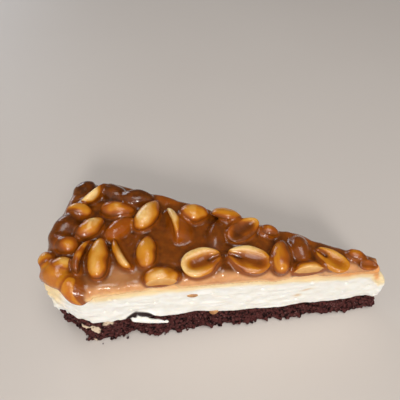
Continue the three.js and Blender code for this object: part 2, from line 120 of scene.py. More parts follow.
def front_face(x: Array) -> Array:
    """Gives y of the front cut face at a place along the slice, in mm."""
    return FRONT_CORNER[1] - FRONT_SLOPE * (FRONT_CORNER[0] - x)


def cord_distance(points: Sequence[Array], path: Sequence[Triple], radii: Sequence[float],
                  flatten: float = 1.0) -> Array:
    """Measures the signed distance to a cord of varying radius.

    Args:
        points: x, y and z as arrays that broadcast.
        path: Corners that the cord runs through.
        radii: Radius at each corner.
        flatten: How much thinner the cord is from front to back than it is high.

    Returns:
        Distances in mm, negative inside the cord.
    """
    stretch = np.array([1.0, 1 / flatten, 1.0])
    places = points[0], points[1] * stretch[1], points[2]
    nearest = np.full(np.broadcast(*places).shape, FAR)
    for first, last, wide, narrow in zip(path[:-1], path[1:], radii[:-1], radii[1:]):
        start, run = np.array(first) * stretch, (np.array(last) - first) * stretch
        gaps = [place - s for place, s in zip(places, start)]
        share = np.clip(sum(g * r for g, r in zip(gaps, run)) / (run @ run), 0, 1)
        away = np.sqrt(sum((g - share * r) ** 2 for g, r in zip(gaps, run)))
        nearest = np.minimum(nearest, away - wide - share * (narrow - wide))
    return nearest


def between(values: Array, whole: Array, part: Array) -> Array:
    """Blends an array's samples round each place.

    Args:
        values: The samples, which repeat beyond the array's ends.
        whole: Number of the sample before each place, along each axis.
        part: How far beyond that sample the place lies, from 0 to 1.

    Returns:
        One value for each place.
    """
    total = np.zeros(whole.shape[:-1])
    for corner in np.ndindex(*(2,) * values.ndim):
        index = (whole + corner) % values.shape
        weight = np.prod(np.where(corner, part, 1 - part), axis=-1)
        total += weight * values[tuple(np.moveaxis(index, -1, 0))]
    return total


def blurred(values: Array, passes: int) -> Array:
    """Softens an array by averaging each value with its neighbours along every axis."""
    for _ in range(passes):
        for axis, count in enumerate(values.shape):
            steps = np.arange(count)
            before = values.take(np.maximum(steps - 1, 0), axis)
            after = values.take(np.minimum(steps + 1, count - 1), axis)
            values = (before + 2 * values + after) / 4
    return values


class SmoothNoise:
    """Seeded noise between -1 and 1 that varies smoothly over cells of a size in mm."""

    PERIOD = 64

    def __init__(self, cell: Union[float, Triple], seed: int) -> None:
        """Draws the lattice for cells with one size, or with one for each axis."""
        self.cell = np.broadcast_to(np.asarray(cell, float), 3)
        self.lattice = np.random.default_rng(seed).uniform(-1, 1, (self.PERIOD,) * 3)

    def at(self, points: Array) -> Array:
        """Reads the noise at points, an array whose last axis is x, y and z in mm."""
        place = np.asarray(points, float) / self.cell
        whole = np.floor(place).astype(int)
        return between(self.lattice, whole, soften(place - whole))

    def over(self, volume: "Volume") -> Array:
        """Reads the noise on every sample of a volume, one axis after another."""
        values = self.lattice
        for axis in range(3):
            place = volume.axes[axis] / self.cell[axis]
            whole = np.floor(place).astype(int)
            part = soften(place - whole).reshape(np.roll((-1, 1, 1), axis))
            first, second = (values.take((whole + k) % self.PERIOD, axis) for k in (0, 1))
            values = first * (1 - part) + second * part
        return values


class Volume:
    """A box of space sampled on an even lattice, for shapes held as signed distances."""

    def __init__(self, low: Sequence[float], high: Sequence[float], step: float) -> None:
        """Sets up the lattice from two corners and the distance between samples, in mm."""
        self.low = np.asarray(low, float)
        self.step = step
        self.count = np.ceil((np.asarray(high, float) - self.low) / step).astype(int) + 1
        self.axes = [self.low[k] + step * np.arange(self.count[k]) for k in range(3)]

    def coordinates(self) -> tuple[Array, Array, Array]:
        """Gives x, y and z of the samples as arrays that broadcast over the box."""
        return np.ix_(*self.axes)

    def plan(self) -> Array:
        """Gives the place of each column of samples, with a height of 0."""
        return np.stack(np.broadcast_arrays(*np.ix_(*self.axes[:2]), 0.0), axis=-1)

    def block(self, low: Array, high: Array) -> Block:
        """Gives the part of the lattice that covers a smaller box."""
        first = np.clip(np.floor((low - self.low) / self.step).astype(int), 0, self.count - 1)
        last = np.clip(np.ceil((high - self.low) / self.step).astype(int) + 1, 1, self.count)
        return tuple(slice(int(a), int(max(a + 1, b))) for a, b in zip(first, last))

    def around(self, centre: Array, reach: float) -> tuple[Block, tuple[Array, Array, Array]]:
        """Gives the block round a centre, and the places of its samples from there."""
        part = self.block(centre - reach, centre + reach)
        return part, np.ix_(*(self.axes[k][part[k]] - centre[k] for k in range(3)))

    def distance(self, points: Array, faces: Array, reach: float,
                 part: Optional[Block] = None) -> Array:
        """Measures the signed distance to a closed mesh.

        Args:
            points: Corners of the mesh in mm.
            faces: Its triangles, as corner numbers.
            reach: Distances are exact up to this many mm and level off beyond it.
            part: The block of the lattice to fill, or None for all of it.

        Returns:
            Distances in mm, negative inside the mesh.
        """
        part = part or tuple(slice(0, int(n)) for n in self.count)
        grid = openvdb.FloatGrid.createLevelSetFromPolygons(
            ((points - self.low) / self.step).astype(np.float32),
            triangles=faces.astype(np.uint32),
            transform=openvdb.createLinearTransform(1.0),
            halfWidth=max(3.0, reach / self.step))
        values = np.zeros([s.stop - s.start for s in part], np.float32)
        grid.copyToArray(values, ijk=tuple(s.start for s in part))
        return values * self.step

    def surface(self, values: Array) -> Mesh:
        """Turns signed distances into a mesh of corners in mm and four-sided faces."""
        padded = np.pad(values / self.step, 1, constant_values=2.0).astype(np.float32)
        grid = openvdb.FloatGrid(2.0)
        grid.copyFromArray(padded)
        points, _, quads = grid.convertToPolygons(isovalue=0.0, adaptivity=0.0)
        return (points.astype(float) - 1) * self.step + self.low, quads.astype(int)

    def sample(self, values: Array, points: Array) -> Array:
        """Reads values, or a flat map of them, in a straight line between samples."""
        n = values.ndim
        place = (points[:, :n] - self.low[:n]) / self.step
        place = np.clip(place, 0, self.count[:n] - 1.001)
        whole = place.astype(int)
        return between(values, whole, place - whole)


@dataclass
class FrameNode:
    """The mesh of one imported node, in mm."""

    name: str
    points: Array
    faces: Array

    PLACES = 24
    TOP_SHARE = 90
    LEANING = 0.45
    SMALLEST = 1e-9

    @classmethod
    def read(cls, node: Piece) -> "FrameNode":
        """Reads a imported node's corners and triangles."""
        mesh = node.data
        points = np.empty(len(mesh.vertices) * 3, np.float32)
        mesh.vertices.foreach_get("co", points)
        mesh.calc_loop_triangles()
        faces = np.empty(len(mesh.loop_triangles) * 3, np.int32)
        mesh.loop_triangles.foreach_get("vertices", faces)
        return cls(node.name, points.reshape(-1, 3).astype(float) / MM, faces.reshape(-1, 3))

    def flat_side(self, likeness: float, across: Optional[Array] = None) -> Array:
        """Finds the direction that most of one side looks in.

        Args:
            likeness: Cosine of the widest angle between triangles that count as one side.
            across: A direction that the side has to lie along, or None.

        Returns:
            The side's unit normal.
        """
        a, b, c = (self.points[self.faces[:, k]] for k in range(3))
        normals = np.cross(b - a, c - a)
        areas = np.linalg.norm(normals, axis=1)
        normals, areas = normals / np.maximum(areas, self.SMALLEST)[:, None], areas / 2
        usable = np.ones(len(normals), bool)
        if across is not None:
            usable = np.abs(normals @ across) < self.LEANING
        alike = (normals @ normals[usable].T) > likeness
        members = alike[:, int(np.argmax(areas @ alike))]
        mean = (normals[members] * areas[members][:, None]).sum(0)
        return mean / np.linalg.norm(mean)

    def top_along(self) -> tuple[Array, Array]:
        """Follows the node's top: places along X and the height at each, in mm."""
        x, z = self.points[:, 0], self.points[:, 2]
        edges = np.linspace(x.min(), x.max(), self.PLACES + 1)
        line = [((left + right) / 2, np.percentile(z[inside], self.TOP_SHARE))
                for left, right in zip(edges[:-1], edges[1:])
                if (inside := (x >= left) & (x <= right)).any()]
        places, heights = zip(*line)
        return np.array(places), np.array(heights)


def make_piece(name: str, mesh: Mesh, material: Material,
               values: Optional[Marks] = None) -> Piece:
    """Makes a smooth mesh object.

    Args:
        name: The piece's name.
        mesh: Corners in mm, and faces as corner numbers.
        material: Its finish.
        values: Numbers to keep for each corner, for the material to read.

    Returns:
        The new object.
    """
    points, faces = mesh
    data = bpy.data.meshes.new(name)
    data.from_pydata((points * MM).tolist(), [], np.asarray(faces).tolist())
    for key, numbers in (values or {}).items():
        layer = data.attributes.new(key, "FLOAT", "POINT")
        layer.data.foreach_set("value", np.asarray(numbers, np.float32))
    data.polygons.foreach_set("use_smooth", np.ones(len(data.polygons), bool))
    data.validate()
    data.update()
    data.materials.append(material)
    piece = bpy.data.objects.new(name, data)
    bpy.context.scene.collection.objects.link(piece)
    return piece


class Nodes:
    """Adds shader nodes to one tree and wires them up."""

    def __init__(self, tree: bpy.types.NodeTree) -> None:
        """Keeps the tree that the nodes go into."""
        self.tree = tree

    def feed(self, target: Port, source: Source) -> None:
        """Links a socket to another, or sets it to a constant."""
        if isinstance(source, Port):
            self.tree.links.new(source, target)
        else:
            target.default_value = source

    def wire(self, node: bpy.types.Node, **sources: Source) -> bpy.types.Node:
        """Feeds a node's inputs by name, with underscores read as spaces."""
        for name, source in sources.items():
            self.feed(node.inputs[name.replace("_", " ")], source)
        return node

    def add(self, kind: str, **sources: Source) -> bpy.types.Node:
        """Adds a node and feeds its inputs."""
        return self.wire(self.tree.nodes.new("ShaderNode" + kind), **sources)

    def attribute(self, name: str) -> Port:
        """Reads a number kept at the corners of the mesh."""
        node = self.add("Attribute")
        node.attribute_name = name
        return node.outputs["Fac"]

    def place(self) -> Port:
        """Gives the place on the object, in metres."""
        return self.add("TexCoord").outputs["Object"]

    def product(self, first: Source, second: Source) -> Port:
        """Multiplies two values and keeps the result between 0 and 1."""
        node = self.add("Math")
        node.operation = "MULTIPLY"
        node.use_clamp = True
        self.feed(node.inputs[0], first)
        self.feed(node.inputs[1], second)
        return node.outputs[0]

    def mix(self, share: Source, *colours: Source) -> Port:
        """Mixes two colours."""
        node = self.add("Mix", Factor=share)
        node.data_type = "RGBA"
        for port, colour in zip([s for s in node.inputs if s.type == "RGBA"], colours):
            self.feed(port, colour)
        return next(s for s in node.outputs if s.type == "RGBA")

    def span(self, value: Source, low: float, high: float,
             to_low: float = 0.0, to_high: float = 1.0) -> Port:
        """Maps a range of values smoothly onto another."""
        node = self.add("MapRange", Value=value, From_Min=low, From_Max=high,
                        To_Min=to_low, To_Max=to_high)
        node.interpolation_type = "SMOOTHSTEP"
        return node.outputs["Result"]

    def noise(self, place: Source, scale: Source, detail: float = 3.0,
              stretch: Triple = (1, 1, 1)) -> Port:
        """Reads cloudy noise, with the place stretched first."""
        mapping = self.add("Mapping", Scale=stretch, Vector=place)
        return self.add("TexNoise", Vector=mapping.outputs["Vector"], Scale=scale,
                        Detail=detail).outputs["Fac"]

    def cells(self, place: Source, scale: float) -> Port:
        """Reads the distance to the nearest of many scattered points."""
        return self.add("TexVoronoi", Vector=place, Scale=scale).outputs["Distance"]

    def bump(self, height: Source, depth: float, strength: float) -> Port:
        """Tilts the surface by a height, with a depth in mm."""
        return self.add("Bump", Height=height, Distance=depth * MM,
                        Strength=strength).outputs["Normal"]

    def group(self, tree: bpy.types.NodeTree, **inputs: Source) -> bpy.types.Node:
        """Places a shared effect."""
        node = self.add("Group")
        node.node_tree = tree
        return self.wire(node, **inputs)


def make_effect(name: str, inputs: Sequence[str], outputs: Sequence[str],
                wire: Callable[[Nodes, Sources], Sources]) -> bpy.types.NodeTree:
    """Makes a shared effect as a node group.

    Args:
        name: The group's name.
        inputs: Names of the inputs, which also tell their types.
        outputs: Names of the outputs.
        wire: Builds the nodes from the inputs and gives each output's source.

    Returns:
        The group.
    """
    tree = bpy.data.node_groups.new(name, "ShaderNodeTree")
    for way, labels in (("INPUT", inputs), ("OUTPUT", outputs)):
        for label in labels:
            kind = "Color" if label.endswith("Colour") else "Float"
            kind = "Vector" if label == "Place" else kind
            tree.interface.new_socket(name=label, in_out=way, socket_type="NodeSocket" + kind)
    nodes = Nodes(tree)
    entry, leave = tree.nodes.new("NodeGroupInput"), tree.nodes.new("NodeGroupOutput")
    made = wire(nodes, {s.name: s for s in entry.outputs if s.name})
    nodes.wire(leave, **made)
    return tree


class Effects:
    """The effects that several finishes share."""

    def __init__(self) -> None:
        """Makes the node groups."""
        self.grain = make_effect(
            "Grain", ("Place", "Colour", "Dark Colour", "Scale", "Amount"),
            ("Colour", "Height"), self._wire_grain)
        self.film = make_effect(
            "Film Tint", ("Bare Colour", "Thin Colour", "Warm Colour", "Thick Colour",
                          "Deep Colour", "Film", "Depth"), ("Colour",), self._wire_film)
        self.crumb = make_effect(
            "Crumb", ("Place", "Colour", "Dark Colour", "Light Colour"),
            ("Colour", "Height"), self._wire_crumb)

    @staticmethod
    def _wire_grain(nodes: Nodes, given: Sources) -> Sources:
        """Breaks up a colour with soft patches."""
        patches = nodes.noise(given["Place"], given["Scale"], 4.0)
        share = nodes.product(nodes.span(patches, 0.35, 0.7), given["Amount"])
        return {"Colour": nodes.mix(share, given["Colour"], given["Dark Colour"]),
                "Height": patches}

    @staticmethod
    def _wire_film(nodes: Nodes, given: Sources) -> Sources:
        """Tints what lies under caramel by the caramel's thickness, then darkens it by painted
        shade and by the dark coat over hidden kernels.
        """
        colour = given["Bare Colour"]
        for tint, low, high in (("Thin", 0.0, 0.38), ("Warm", 0.34, 0.68), ("Thick", 0.6, 1.0)):
            colour = nodes.mix(nodes.span(given["Film"], low, high), colour,
                               given[tint + " Colour"])
        # Mixes in a dark tint for painted shade, and for the dark coat over hidden kernels.
        return {"Colour": nodes.mix(given["Depth"], colour, given["Deep Colour"])}

    @staticmethod
    def _wire_crumb(nodes: Nodes, given: Sources) -> Sources:
        """Mottles a crumbly face with dark pits and a few pale grains."""
        coarse = nodes.cells(given["Place"], 900.0)
        fine = nodes.noise(given["Place"], 1600.0, 3.0)
        colour = nodes.mix(nodes.span(coarse, 0.35, 0.85), given["Colour"], given["Dark Colour"])
        colour = nodes.mix(nodes.span(fine, 0.58, 0.78), colour, given["Light Colour"])
        return {"Colour": colour, "Height": nodes.product(fine, coarse)}


def new_material(name: str) -> tuple[Material, Nodes, bpy.types.Node]:
    """Starts a material and gives its nodes and its shader."""
    material = bpy.data.materials.new(name)
    material.use_nodes = True
    return material, Nodes(material.node_tree), material.node_tree.nodes["Principled BSDF"]


@dataclass(frozen=True)
class Surface:
    """How a surface takes light. Depths are in mm.

    Gloss is the weight of a clear coat, and glow that of light that spreads below the surface.
    """

    roughness: float
    relief: float
    strength: float
    mirror: float = 0.5
    gloss: float = 0.0
    gloss_roughness: float = 0.03
    glow: float = 0.0
    glow_reach: Triple = (1.0, 0.2, 0.1)
    glow_depth: float = 50.0

    def dress(self, nodes: Nodes, shader: bpy.types.Node, colour: Port, height: Port) -> None:
        """Gives a shader this surface, with a colour and a height to tilt it by."""
        nodes.wire(shader, Base_Color=colour, Roughness=self.roughness,
                   Specular_IOR_Level=self.mirror, Coat_Weight=self.gloss,
                   Coat_Roughness=self.gloss_roughness, Subsurface_Weight=self.glow,
                   Subsurface_Radius=self.glow_reach, Subsurface_Scale=self.glow_depth * MM,
                   Normal=nodes.bump(height, self.relief, self.strength))


@dataclass(frozen=True)
class CaramelTints:
    """Colours of caramel from a thin film to a thick one, with a dark tint for painted shade and
    for the dark coat over hidden kernels.
    """

    thin: Colour = srgb(206, 130, 24)
    warm: Colour = srgb(164, 82, 8)
    thick: Colour = srgb(118, 60, 11)
    # Painted shade colour for creases, valleys and kernel feet, also used for the dark coat over
    # hidden kernels.
    shade_and_coat_tint: Colour = srgb(44, 17, 2)
    lip: Colour = srgb(230, 168, 112)
    faded: Colour = srgb(248, 200, 140)

    def over(self, bare: Source, nodes: Nodes, effects: Effects) -> Port:
        """Tints a colour by the caramel that the mesh's marks put over it."""
        return nodes.group(
            effects.film, Bare_Colour=bare, Thin_Colour=self.thin, Warm_Colour=self.warm,
            Thick_Colour=self.thick, Deep_Colour=self.shade_and_coat_tint, Film=nodes.attribute("film"),
            Depth=nodes.attribute("hollow")).outputs["Colour"]


@dataclass(frozen=True)
class CaramelFinish:
    """Glossy caramel over kernels and cream."""

    tints: CaramelTints = CaramelTints()
    surface: Surface = Surface(
        roughness=0.16, relief=0.4, strength=0.75, mirror=0.32, gloss=0.35,
        gloss_roughness=0.06, glow=0.25, glow_reach=(1.0, 0.45, 0.15), glow_depth=1.6)

    def material(self, effects: Effects) -> Material:
        """Builds the caramel's material."""
        material, nodes, shader = new_material("caramel_topping")
        place = nodes.place()
        colour = self.tints.over(self.tints.thin, nodes, effects)
        colour = nodes.mix(nodes.attribute("lip"), colour, self.tints.lip)
        colour = nodes.mix(nodes.attribute("fade"), colour, self.tints.faded)
        grain = nodes.group(effects.grain, Place=place, Colour=colour,
                            Dark_Colour=self.tints.warm, Scale=380.0, Amount=0.3)
        ripple = nodes.noise(place, 460.0, 5.0)
        self.surface.dress(nodes, shader, grain.outputs["Colour"], ripple)
        return material


class Tone(Enum):
    """Colour of a kernel where no caramel covers it."""

    CREAM = srgb(248, 208, 136)
    GOLD = srgb(232, 178, 86)
    AMBER = srgb(218, 146, 44)
    ORANGE = srgb(182, 88, 10)
    BROWN = srgb(172, 106, 46)


@dataclass(frozen=True)
class KernelFinish:
    """Roasted peanut under a film of caramel that thins towards its top."""

    tints: CaramelTints = CaramelTints()
    surface: Surface = Surface(
        roughness=0.26, relief=0.3, strength=0.6, mirror=0.32, gloss=0.32,
        gloss_roughness=0.08, glow=0.2, glow_reach=(1.0, 0.6, 0.25), glow_depth=1.2)

    def material(self, tone: Tone, effects: Effects) -> Material:
        """Builds the material for kernels of one tone."""
        material, nodes, shader = new_material(f"peanut_{tone.name.lower()}")
        place = nodes.place()
        grain = nodes.group(effects.grain, Place=place, Colour=tone.value,
                            Dark_Colour=self.tints.thin, Scale=520.0, Amount=0.35)
        colour = self.tints.over(grain.outputs["Colour"], nodes, effects)
        wrinkles = nodes.noise(place, 650.0, 3.0)
        self.surface.dress(nodes, shader, colour, wrinkles)
        return material


@dataclass(frozen=True)
class CreamFinish:
    """Matte white cream, stained by caramel below the topping, with painted shade on the left
    rim and in the slit.
    """

    cream: Colour = srgb(250, 248, 241)
    shade: Colour = srgb(240, 234, 220)
    stain: Colour = srgb(228, 152, 84)
    tint: Colour = srgb(252, 224, 174)
    # Painted shade colour for the gap of the slit.
    dark: Colour = srgb(34, 15, 12)
    spot: Colour = srgb(226, 190, 140)
    surface: Surface = Surface(
        roughness=0.62, relief=0.25, strength=0.5, mirror=0.3, glow=0.25,
        glow_reach=(1.0, 0.8, 0.6), glow_depth=1.5)

    def material(self, effects: Effects) -> Material:
        """Builds the cream's material."""
        material, nodes, shader = new_material("cream_filling")
        place, stain = nodes.place(), nodes.attribute("stain")
        grain = nodes.group(effects.grain, Place=place, Colour=self.cream,
                            Dark_Colour=self.shade, Scale=300.0, Amount=0.5)
        colour = nodes.mix(nodes.span(stain, 0.0, 0.45), grain.outputs["Colour"], self.tint)
        colour = nodes.mix(nodes.span(stain, 0.45, 1.0), colour, self.stain)
        colour = nodes.mix(nodes.attribute("spot"), colour, self.spot)
        # Paints shade into the gap of the slit.
        colour = nodes.mix(nodes.attribute("slit"), colour, self.dark)
        drags = nodes.noise(place, 900.0, 4.0, (0.3, 0.3, 1))
        self.surface.dress(nodes, shader, colour, drags)
        return material


@dataclass(frozen=True)
class CrustFinish:
    """Dark chocolate crumb with smears of cream."""

    crumb: Colour = srgb(82, 42, 40)
    pit: Colour = srgb(16, 5, 5)
    grain: Colour = srgb(140, 104, 100)
    smear: Colour = srgb(222, 200, 172)
    surface: Surface = Surface(roughness=0.85, relief=0.4, strength=0.7, mirror=0.12)

    def material(self, effects: Effects) -> Material:
        """Builds the crust's material."""
        material, nodes, shader = new_material("crumb_crust")
        crumb = nodes.group(effects.crumb, Place=nodes.place(), Colour=self.crumb,
                            Dark_Colour=self.pit, Light_Colour=self.grain)
        colour = nodes.mix(nodes.attribute("smear"), crumb.outputs["Colour"], self.smear)
        self.surface.dress(nodes, shader, colour, crumb.outputs["Height"])
        return material


@dataclass(frozen=True)
class NutBitFinish:
    """Chopped nut in the cream."""

    nut: Colour = srgb(205, 152, 96)
    rim: Colour = srgb(158, 104, 58)
    surface: Surface = Surface(roughness=0.5, relief=0.2, strength=0.4)

    def material(self, effects: Effects) -> Material:
        """Builds the nut bits' material."""
        material, nodes, shader = new_material("nut_bits")
        grain = nodes.group(effects.grain, Place=nodes.place(), Colour=self.nut,
                            Dark_Colour=self.rim, Scale=700.0, Amount=0.8)
        self.surface.dress(nodes, shader, grain.outputs["Colour"], grain.outputs["Height"])
        return material


def softened(node: FrameNode, step: float, headroom: float, passes: int
             ) -> tuple[Volume, Array]:
    """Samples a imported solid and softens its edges.

    Args:
        node: The solid.
        step: Distance between samples in mm.
        headroom: Room above the solid in mm.
        passes: How often its edges are softened.

    Returns:
        The lattice, and the signed distances on it.
    """
    volume = Volume(node.points.min(0) - 2, node.points.max(0) + [2, 2, headroom], step)
    return volume, blurred(volume.distance(node.points, node.faces, 3.0), passes)


@dataclass(frozen=True)
class CrustLayer:
    """The crumb crust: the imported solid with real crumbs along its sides. Sizes are in mm."""

    node: FrameNode
    cream: FrameNode
    step: float = 0.465
    inset: float = 0.35
    crumb_small: float = 0.3
    crumb_large: float = 0.85
    crumb_count: int = 6500
    pit_count: int = 900
    corner_count: int = 520
    skin: float = 0.5
    apex_x: float = 59.4
    rim_radius: float = 123.6
    rim_recess: float = 2.2

    CRACKS = (((-35.0, -22.3, 3.2), (-34.4, -22.2, 6.0), (-34.9, -22.2, 9.6)),
              ((-56.5, -21.8, 11.0), (-52.0, -22.4, 10.4), (-47.4, -23.6, 8.2)),
              ((-51.0, -24.2, 6.2), (-48.6, -25.0, 4.6), (-46.6, -25.6, 2.6)))
    CRACK_RADII = (0.3, 0.6, 0.5)
    SEED = 5
    JITTER = 0.3
    SQUASH = (0.7, 1.2)
    MARGIN = 0.8

    def build(self, effects: Effects) -> Piece:
        """Builds the crust and dresses it."""
        volume, solid = softened(self.node, self.step, headroom=7, passes=2)
        x, y, z = volume.coordinates()
        solid = solid + self.inset + 0.25 * SmoothNoise(2.6, 11).over(volume)
        for crack in self.CRACKS:
            solid = smooth_max(solid, -cord_distance((x, y, z), crack, self.CRACK_RADII), 0.6)
        limit = self.rim_radius - self.rim_recess * ease(z, 1.0, 9.0) + 3.0 * ease(y, 4, 16)
        solid = smooth_max(solid, np.hypot(self.apex_x - x, y) - limit, 0.8)
        top = np.interp(x, *self.node.top_along())
        side = (np.abs(solid) < self.skin) & (z > 0.9) & (z < top - 0.3)
        random = np.random.default_rng(self.SEED)
        self._add_crumbs(volume, solid, side, self.crumb_count, random)
        self._add_crumbs(volume, solid, side, self.pit_count, random, True)
        self._add_crumbs(volume, solid, self._corner(volume), self.corner_count, random)
        solid += 0.16 * SmoothNoise(0.9, 12).over(volume)
        mesh = volume.surface(np.maximum(solid, 0.02 - z))
        return make_piece("crust_crumb", mesh, CrustFinish().material(effects),
                          {"smear": self._smears(mesh[0])})

    def _corner(self, volume: Volume) -> Array:
        """Marks the skin of the cream that is caked with crumbs at the front corner."""
        x, y, z = volume.coordinates()
        skin = np.abs(volume.distance(self.cream.points, self.cream.faces, 2.0)) < 0.35
        plan = volume.plan()
        ragged = 1.6 * SmoothNoise(2.2, 15).at(plan)
        limit = 9.5 + 5.2 * ease(-plan[..., 0], 45.5, 51) * ease(-plan[..., 1], 16, 22)
        caked = (x < -44.5) & (x > -60.6) & (y < -10) & (z > 8)
        return skin & caked & (z < (limit + ragged)[..., None])

    def _add_crumbs(self, volume: Volume, solid: Array, where: Array, count: int,
                    random: np.random.Generator, dig: bool = False) -> None:
        """Adds crumbs to a surface, or digs pits into it.

        Args:
            volume: The lattice.
            solid: Signed distances, which are changed.
            where: Samples that a crumb may sit on.
            count: How many to make.
            random: Source of the sizes and places.
            dig: Whether to dig pits.
        """
        places = np.argwhere(where)
        for index in random.choice(len(places), min(count, len(places)), replace=False):
            radius = random.uniform(self.crumb_small, self.crumb_large)
            away = random.uniform(-self.JITTER, self.JITTER, 3)
            centre = volume.low + places[index] * volume.step + away
            squash = random.uniform(*self.SQUASH, 3)
            part, gaps = volume.around(centre, radius + self.MARGIN)
            ball = np.sqrt(sum((g / s) ** 2 for g, s in zip(gaps, squash))) - radius
            old = solid[part]
            solid[part] = np.maximum(old, -ball) if dig else np.minimum(old, ball)

    def _smears(self, points: Array) -> Array:
        """Marks where cream is smeared over the crust's front corner."""
        x, y, z = points.T
        wander = 0.8 * SmoothNoise(1.6, 14).at(points)
        line = bell(z + 0.5 * (x + 53.0) + 0.9 * wander, 9.8, 1.3)
        line = line * ease(x, -56, -54) * (1 - ease(x, -46.5, -45))
        patch = bell(x + wander, -42.4, 2.4) * ease(z, 9.4, 10.6)
        foot = bell(x + wander, -47.6, 0.8) * bell(z, 1.0, 1.2)
        return ease((line + patch + foot) * ease(-y, 12, 16), 0.35, 0.75)


@dataclass(frozen=True)
class CreamLayer:
    """The white filling: knife drags, pits, a ragged nose and a loose flake. Sizes are in mm."""

    node: FrameNode
    step: float = 0.43
    drag: float = 0.16
    pit_small: float = 0.25
    pit_large: float = 0.7
    pit_count: int = 420
    skin: float = 0.4
    stain_places: tuple[float, ...] = (-63, -50, -41, -34, -20, -8, 2, 28, 47, 56, 60, 63)
    stain_depths: tuple[float, ...] = (7, 7, 8, 7, 5.5, 5.2, 5, 6, 8, 7, 4, 3)

    SLIT = ((-34.4, -22.4, 12.6), (-31.4, -21.6, 15.6), (-27.2, -20.6, 13.8),
            (-23.6, -19.8, 11.6), (-19.5, -18.9, 10.4))
    SLIT_RADII = (0.9, 0.8, 0.6, 0.8, 0.35)
    FLAKE = ((-32.6, -22.0, 11.8), (-27.0, -20.9, 10.2), (-20.6, -19.5, 8.0))
    FLAKE_RADII = (1.0, 1.5, 0.8)
    FLAKE_FLATTEN = 0.6
    SEED = 6
    PIT_FLATTEN = 1.3

    def build(self, effects: Effects) -> Piece:
        """Builds the cream and dresses it."""
        volume, solid = softened(self.node, self.step, headroom=2, passes=3)
        x, y, z = volume.coordinates()
        solid = solid + self.drag * SmoothNoise((7.0, 5.0, 1.1), 21).over(volume)
        rough = 0.35 * ease(x, 52, 62) + ease(-x, 52, 61) * (0.25 + 0.5 * ease(-y, 8, 20))
        solid = solid + (0.12 + rough) * SmoothNoise(1.5, 22).over(volume)
        self._dig_pits(volume, solid)
        slit, flake = self._slit_and_flake((x, y, z))
        flake = flake + 0.3 * SmoothNoise(1.6, 25).over(volume)
        mesh = volume.surface(smooth_min(smooth_max(solid, -slit, 0.4), flake, 0.5))
        return make_piece("cream_body", mesh, CreamFinish().material(effects),
                          self._marks(mesh[0]))

    def _dig_pits(self, volume: Volume, solid: Array) -> None:
        """Opens small air holes in the faces."""
        random = np.random.default_rng(self.SEED)
        places = np.argwhere(np.abs(solid) < self.skin)
        for index in random.choice(len(places), self.pit_count, replace=False):
            radius = random.uniform(self.pit_small, self.pit_large)
            centre = volume.low + places[index] * volume.step
            part, (x, y, z) = volume.around(centre, radius + 1)
            ball = np.sqrt(x ** 2 + y ** 2 + (self.PIT_FLATTEN * z) ** 2) - radius
            solid[part] = smooth_max(solid[part], -ball, 0.4)

    def _slit_and_flake(self, points: Sequence[Array]) -> tuple[Array, Array]:
        """Measures the distances to the slit and to the thin flake below it."""
        return (cord_distance(points, self.SLIT, self.SLIT_RADII),
                cord_distance(points, self.FLAKE, self.FLAKE_RADII, self.FLAKE_FLATTEN))

    def _marks(self, points: Array) -> Marks:
        """Works out the caramel stain, with painted shade on the left rim, the faint nut spots
        and the painted shade in the slit.
        """
        x, y, z = points.T
        wander = 0.7 * SmoothNoise((5.0, 5.0, 60.0), 23).at(points)
        streak = SmoothNoise((9.0, 9.0, 0.8), 24).at(points)
        depth = np.interp(x, *self.node.top_along()) - z + wander
        reach = np.interp(x, self.stain_places, self.stain_depths)
        strong = 0.8 + 0.2 * ease(x, 30, 45) - 0.15 * bell(x, 10, 14)
        strong = strong * (1 - 0.6 * ease(x, 57, 61))
        stain = strong * (1 - ease(depth, 0.0, reach)) * (0.9 + 0.1 * streak)
        # The left rim takes the stain colour: partly a real yellow stain, partly painted shade
        # on that side.
        rim = 0.56 * ease(-x, 54, 60) * ease(-depth, -20, -2)
        spots = (bell(x, 28.8, 1.6) * bell(z, 16.0, 1.2)
                 + bell(x, 31.8, 2.2) * bell(z - 0.25 * (x - 31.8), 19.9, 0.8))
        slit, flake = self._slit_and_flake((x, y, z))
        return {"stain": np.clip(np.maximum(stain, rim), 0, 1),
                "spot": np.clip(0.75 * spots * ease(-y, 2, 5), 0, 1),
                # Painted shade in the gap of the slit.
                "slit": (1 - ease(slit, 0.2, 0.7)) * (flake > 0.5)}


@dataclass(frozen=True)
class KernelLook:
    """How one kernel shows: its tone, and where caramel covers more of it.

    The cover heading is the direction in plan, in degrees, of the side that is covered.
    Turn rolls a split kernel about its length, in degrees. Pool is how much painted shade
    darkens the bowl of a split kernel.
    """

    tone: Tone
    bare: float = 1.0
    cover_heading: Optional[float] = None
    cup: float = 0.6
    notch: float = 0.0
    pool: float = 0.2
    turn: float = 0.0


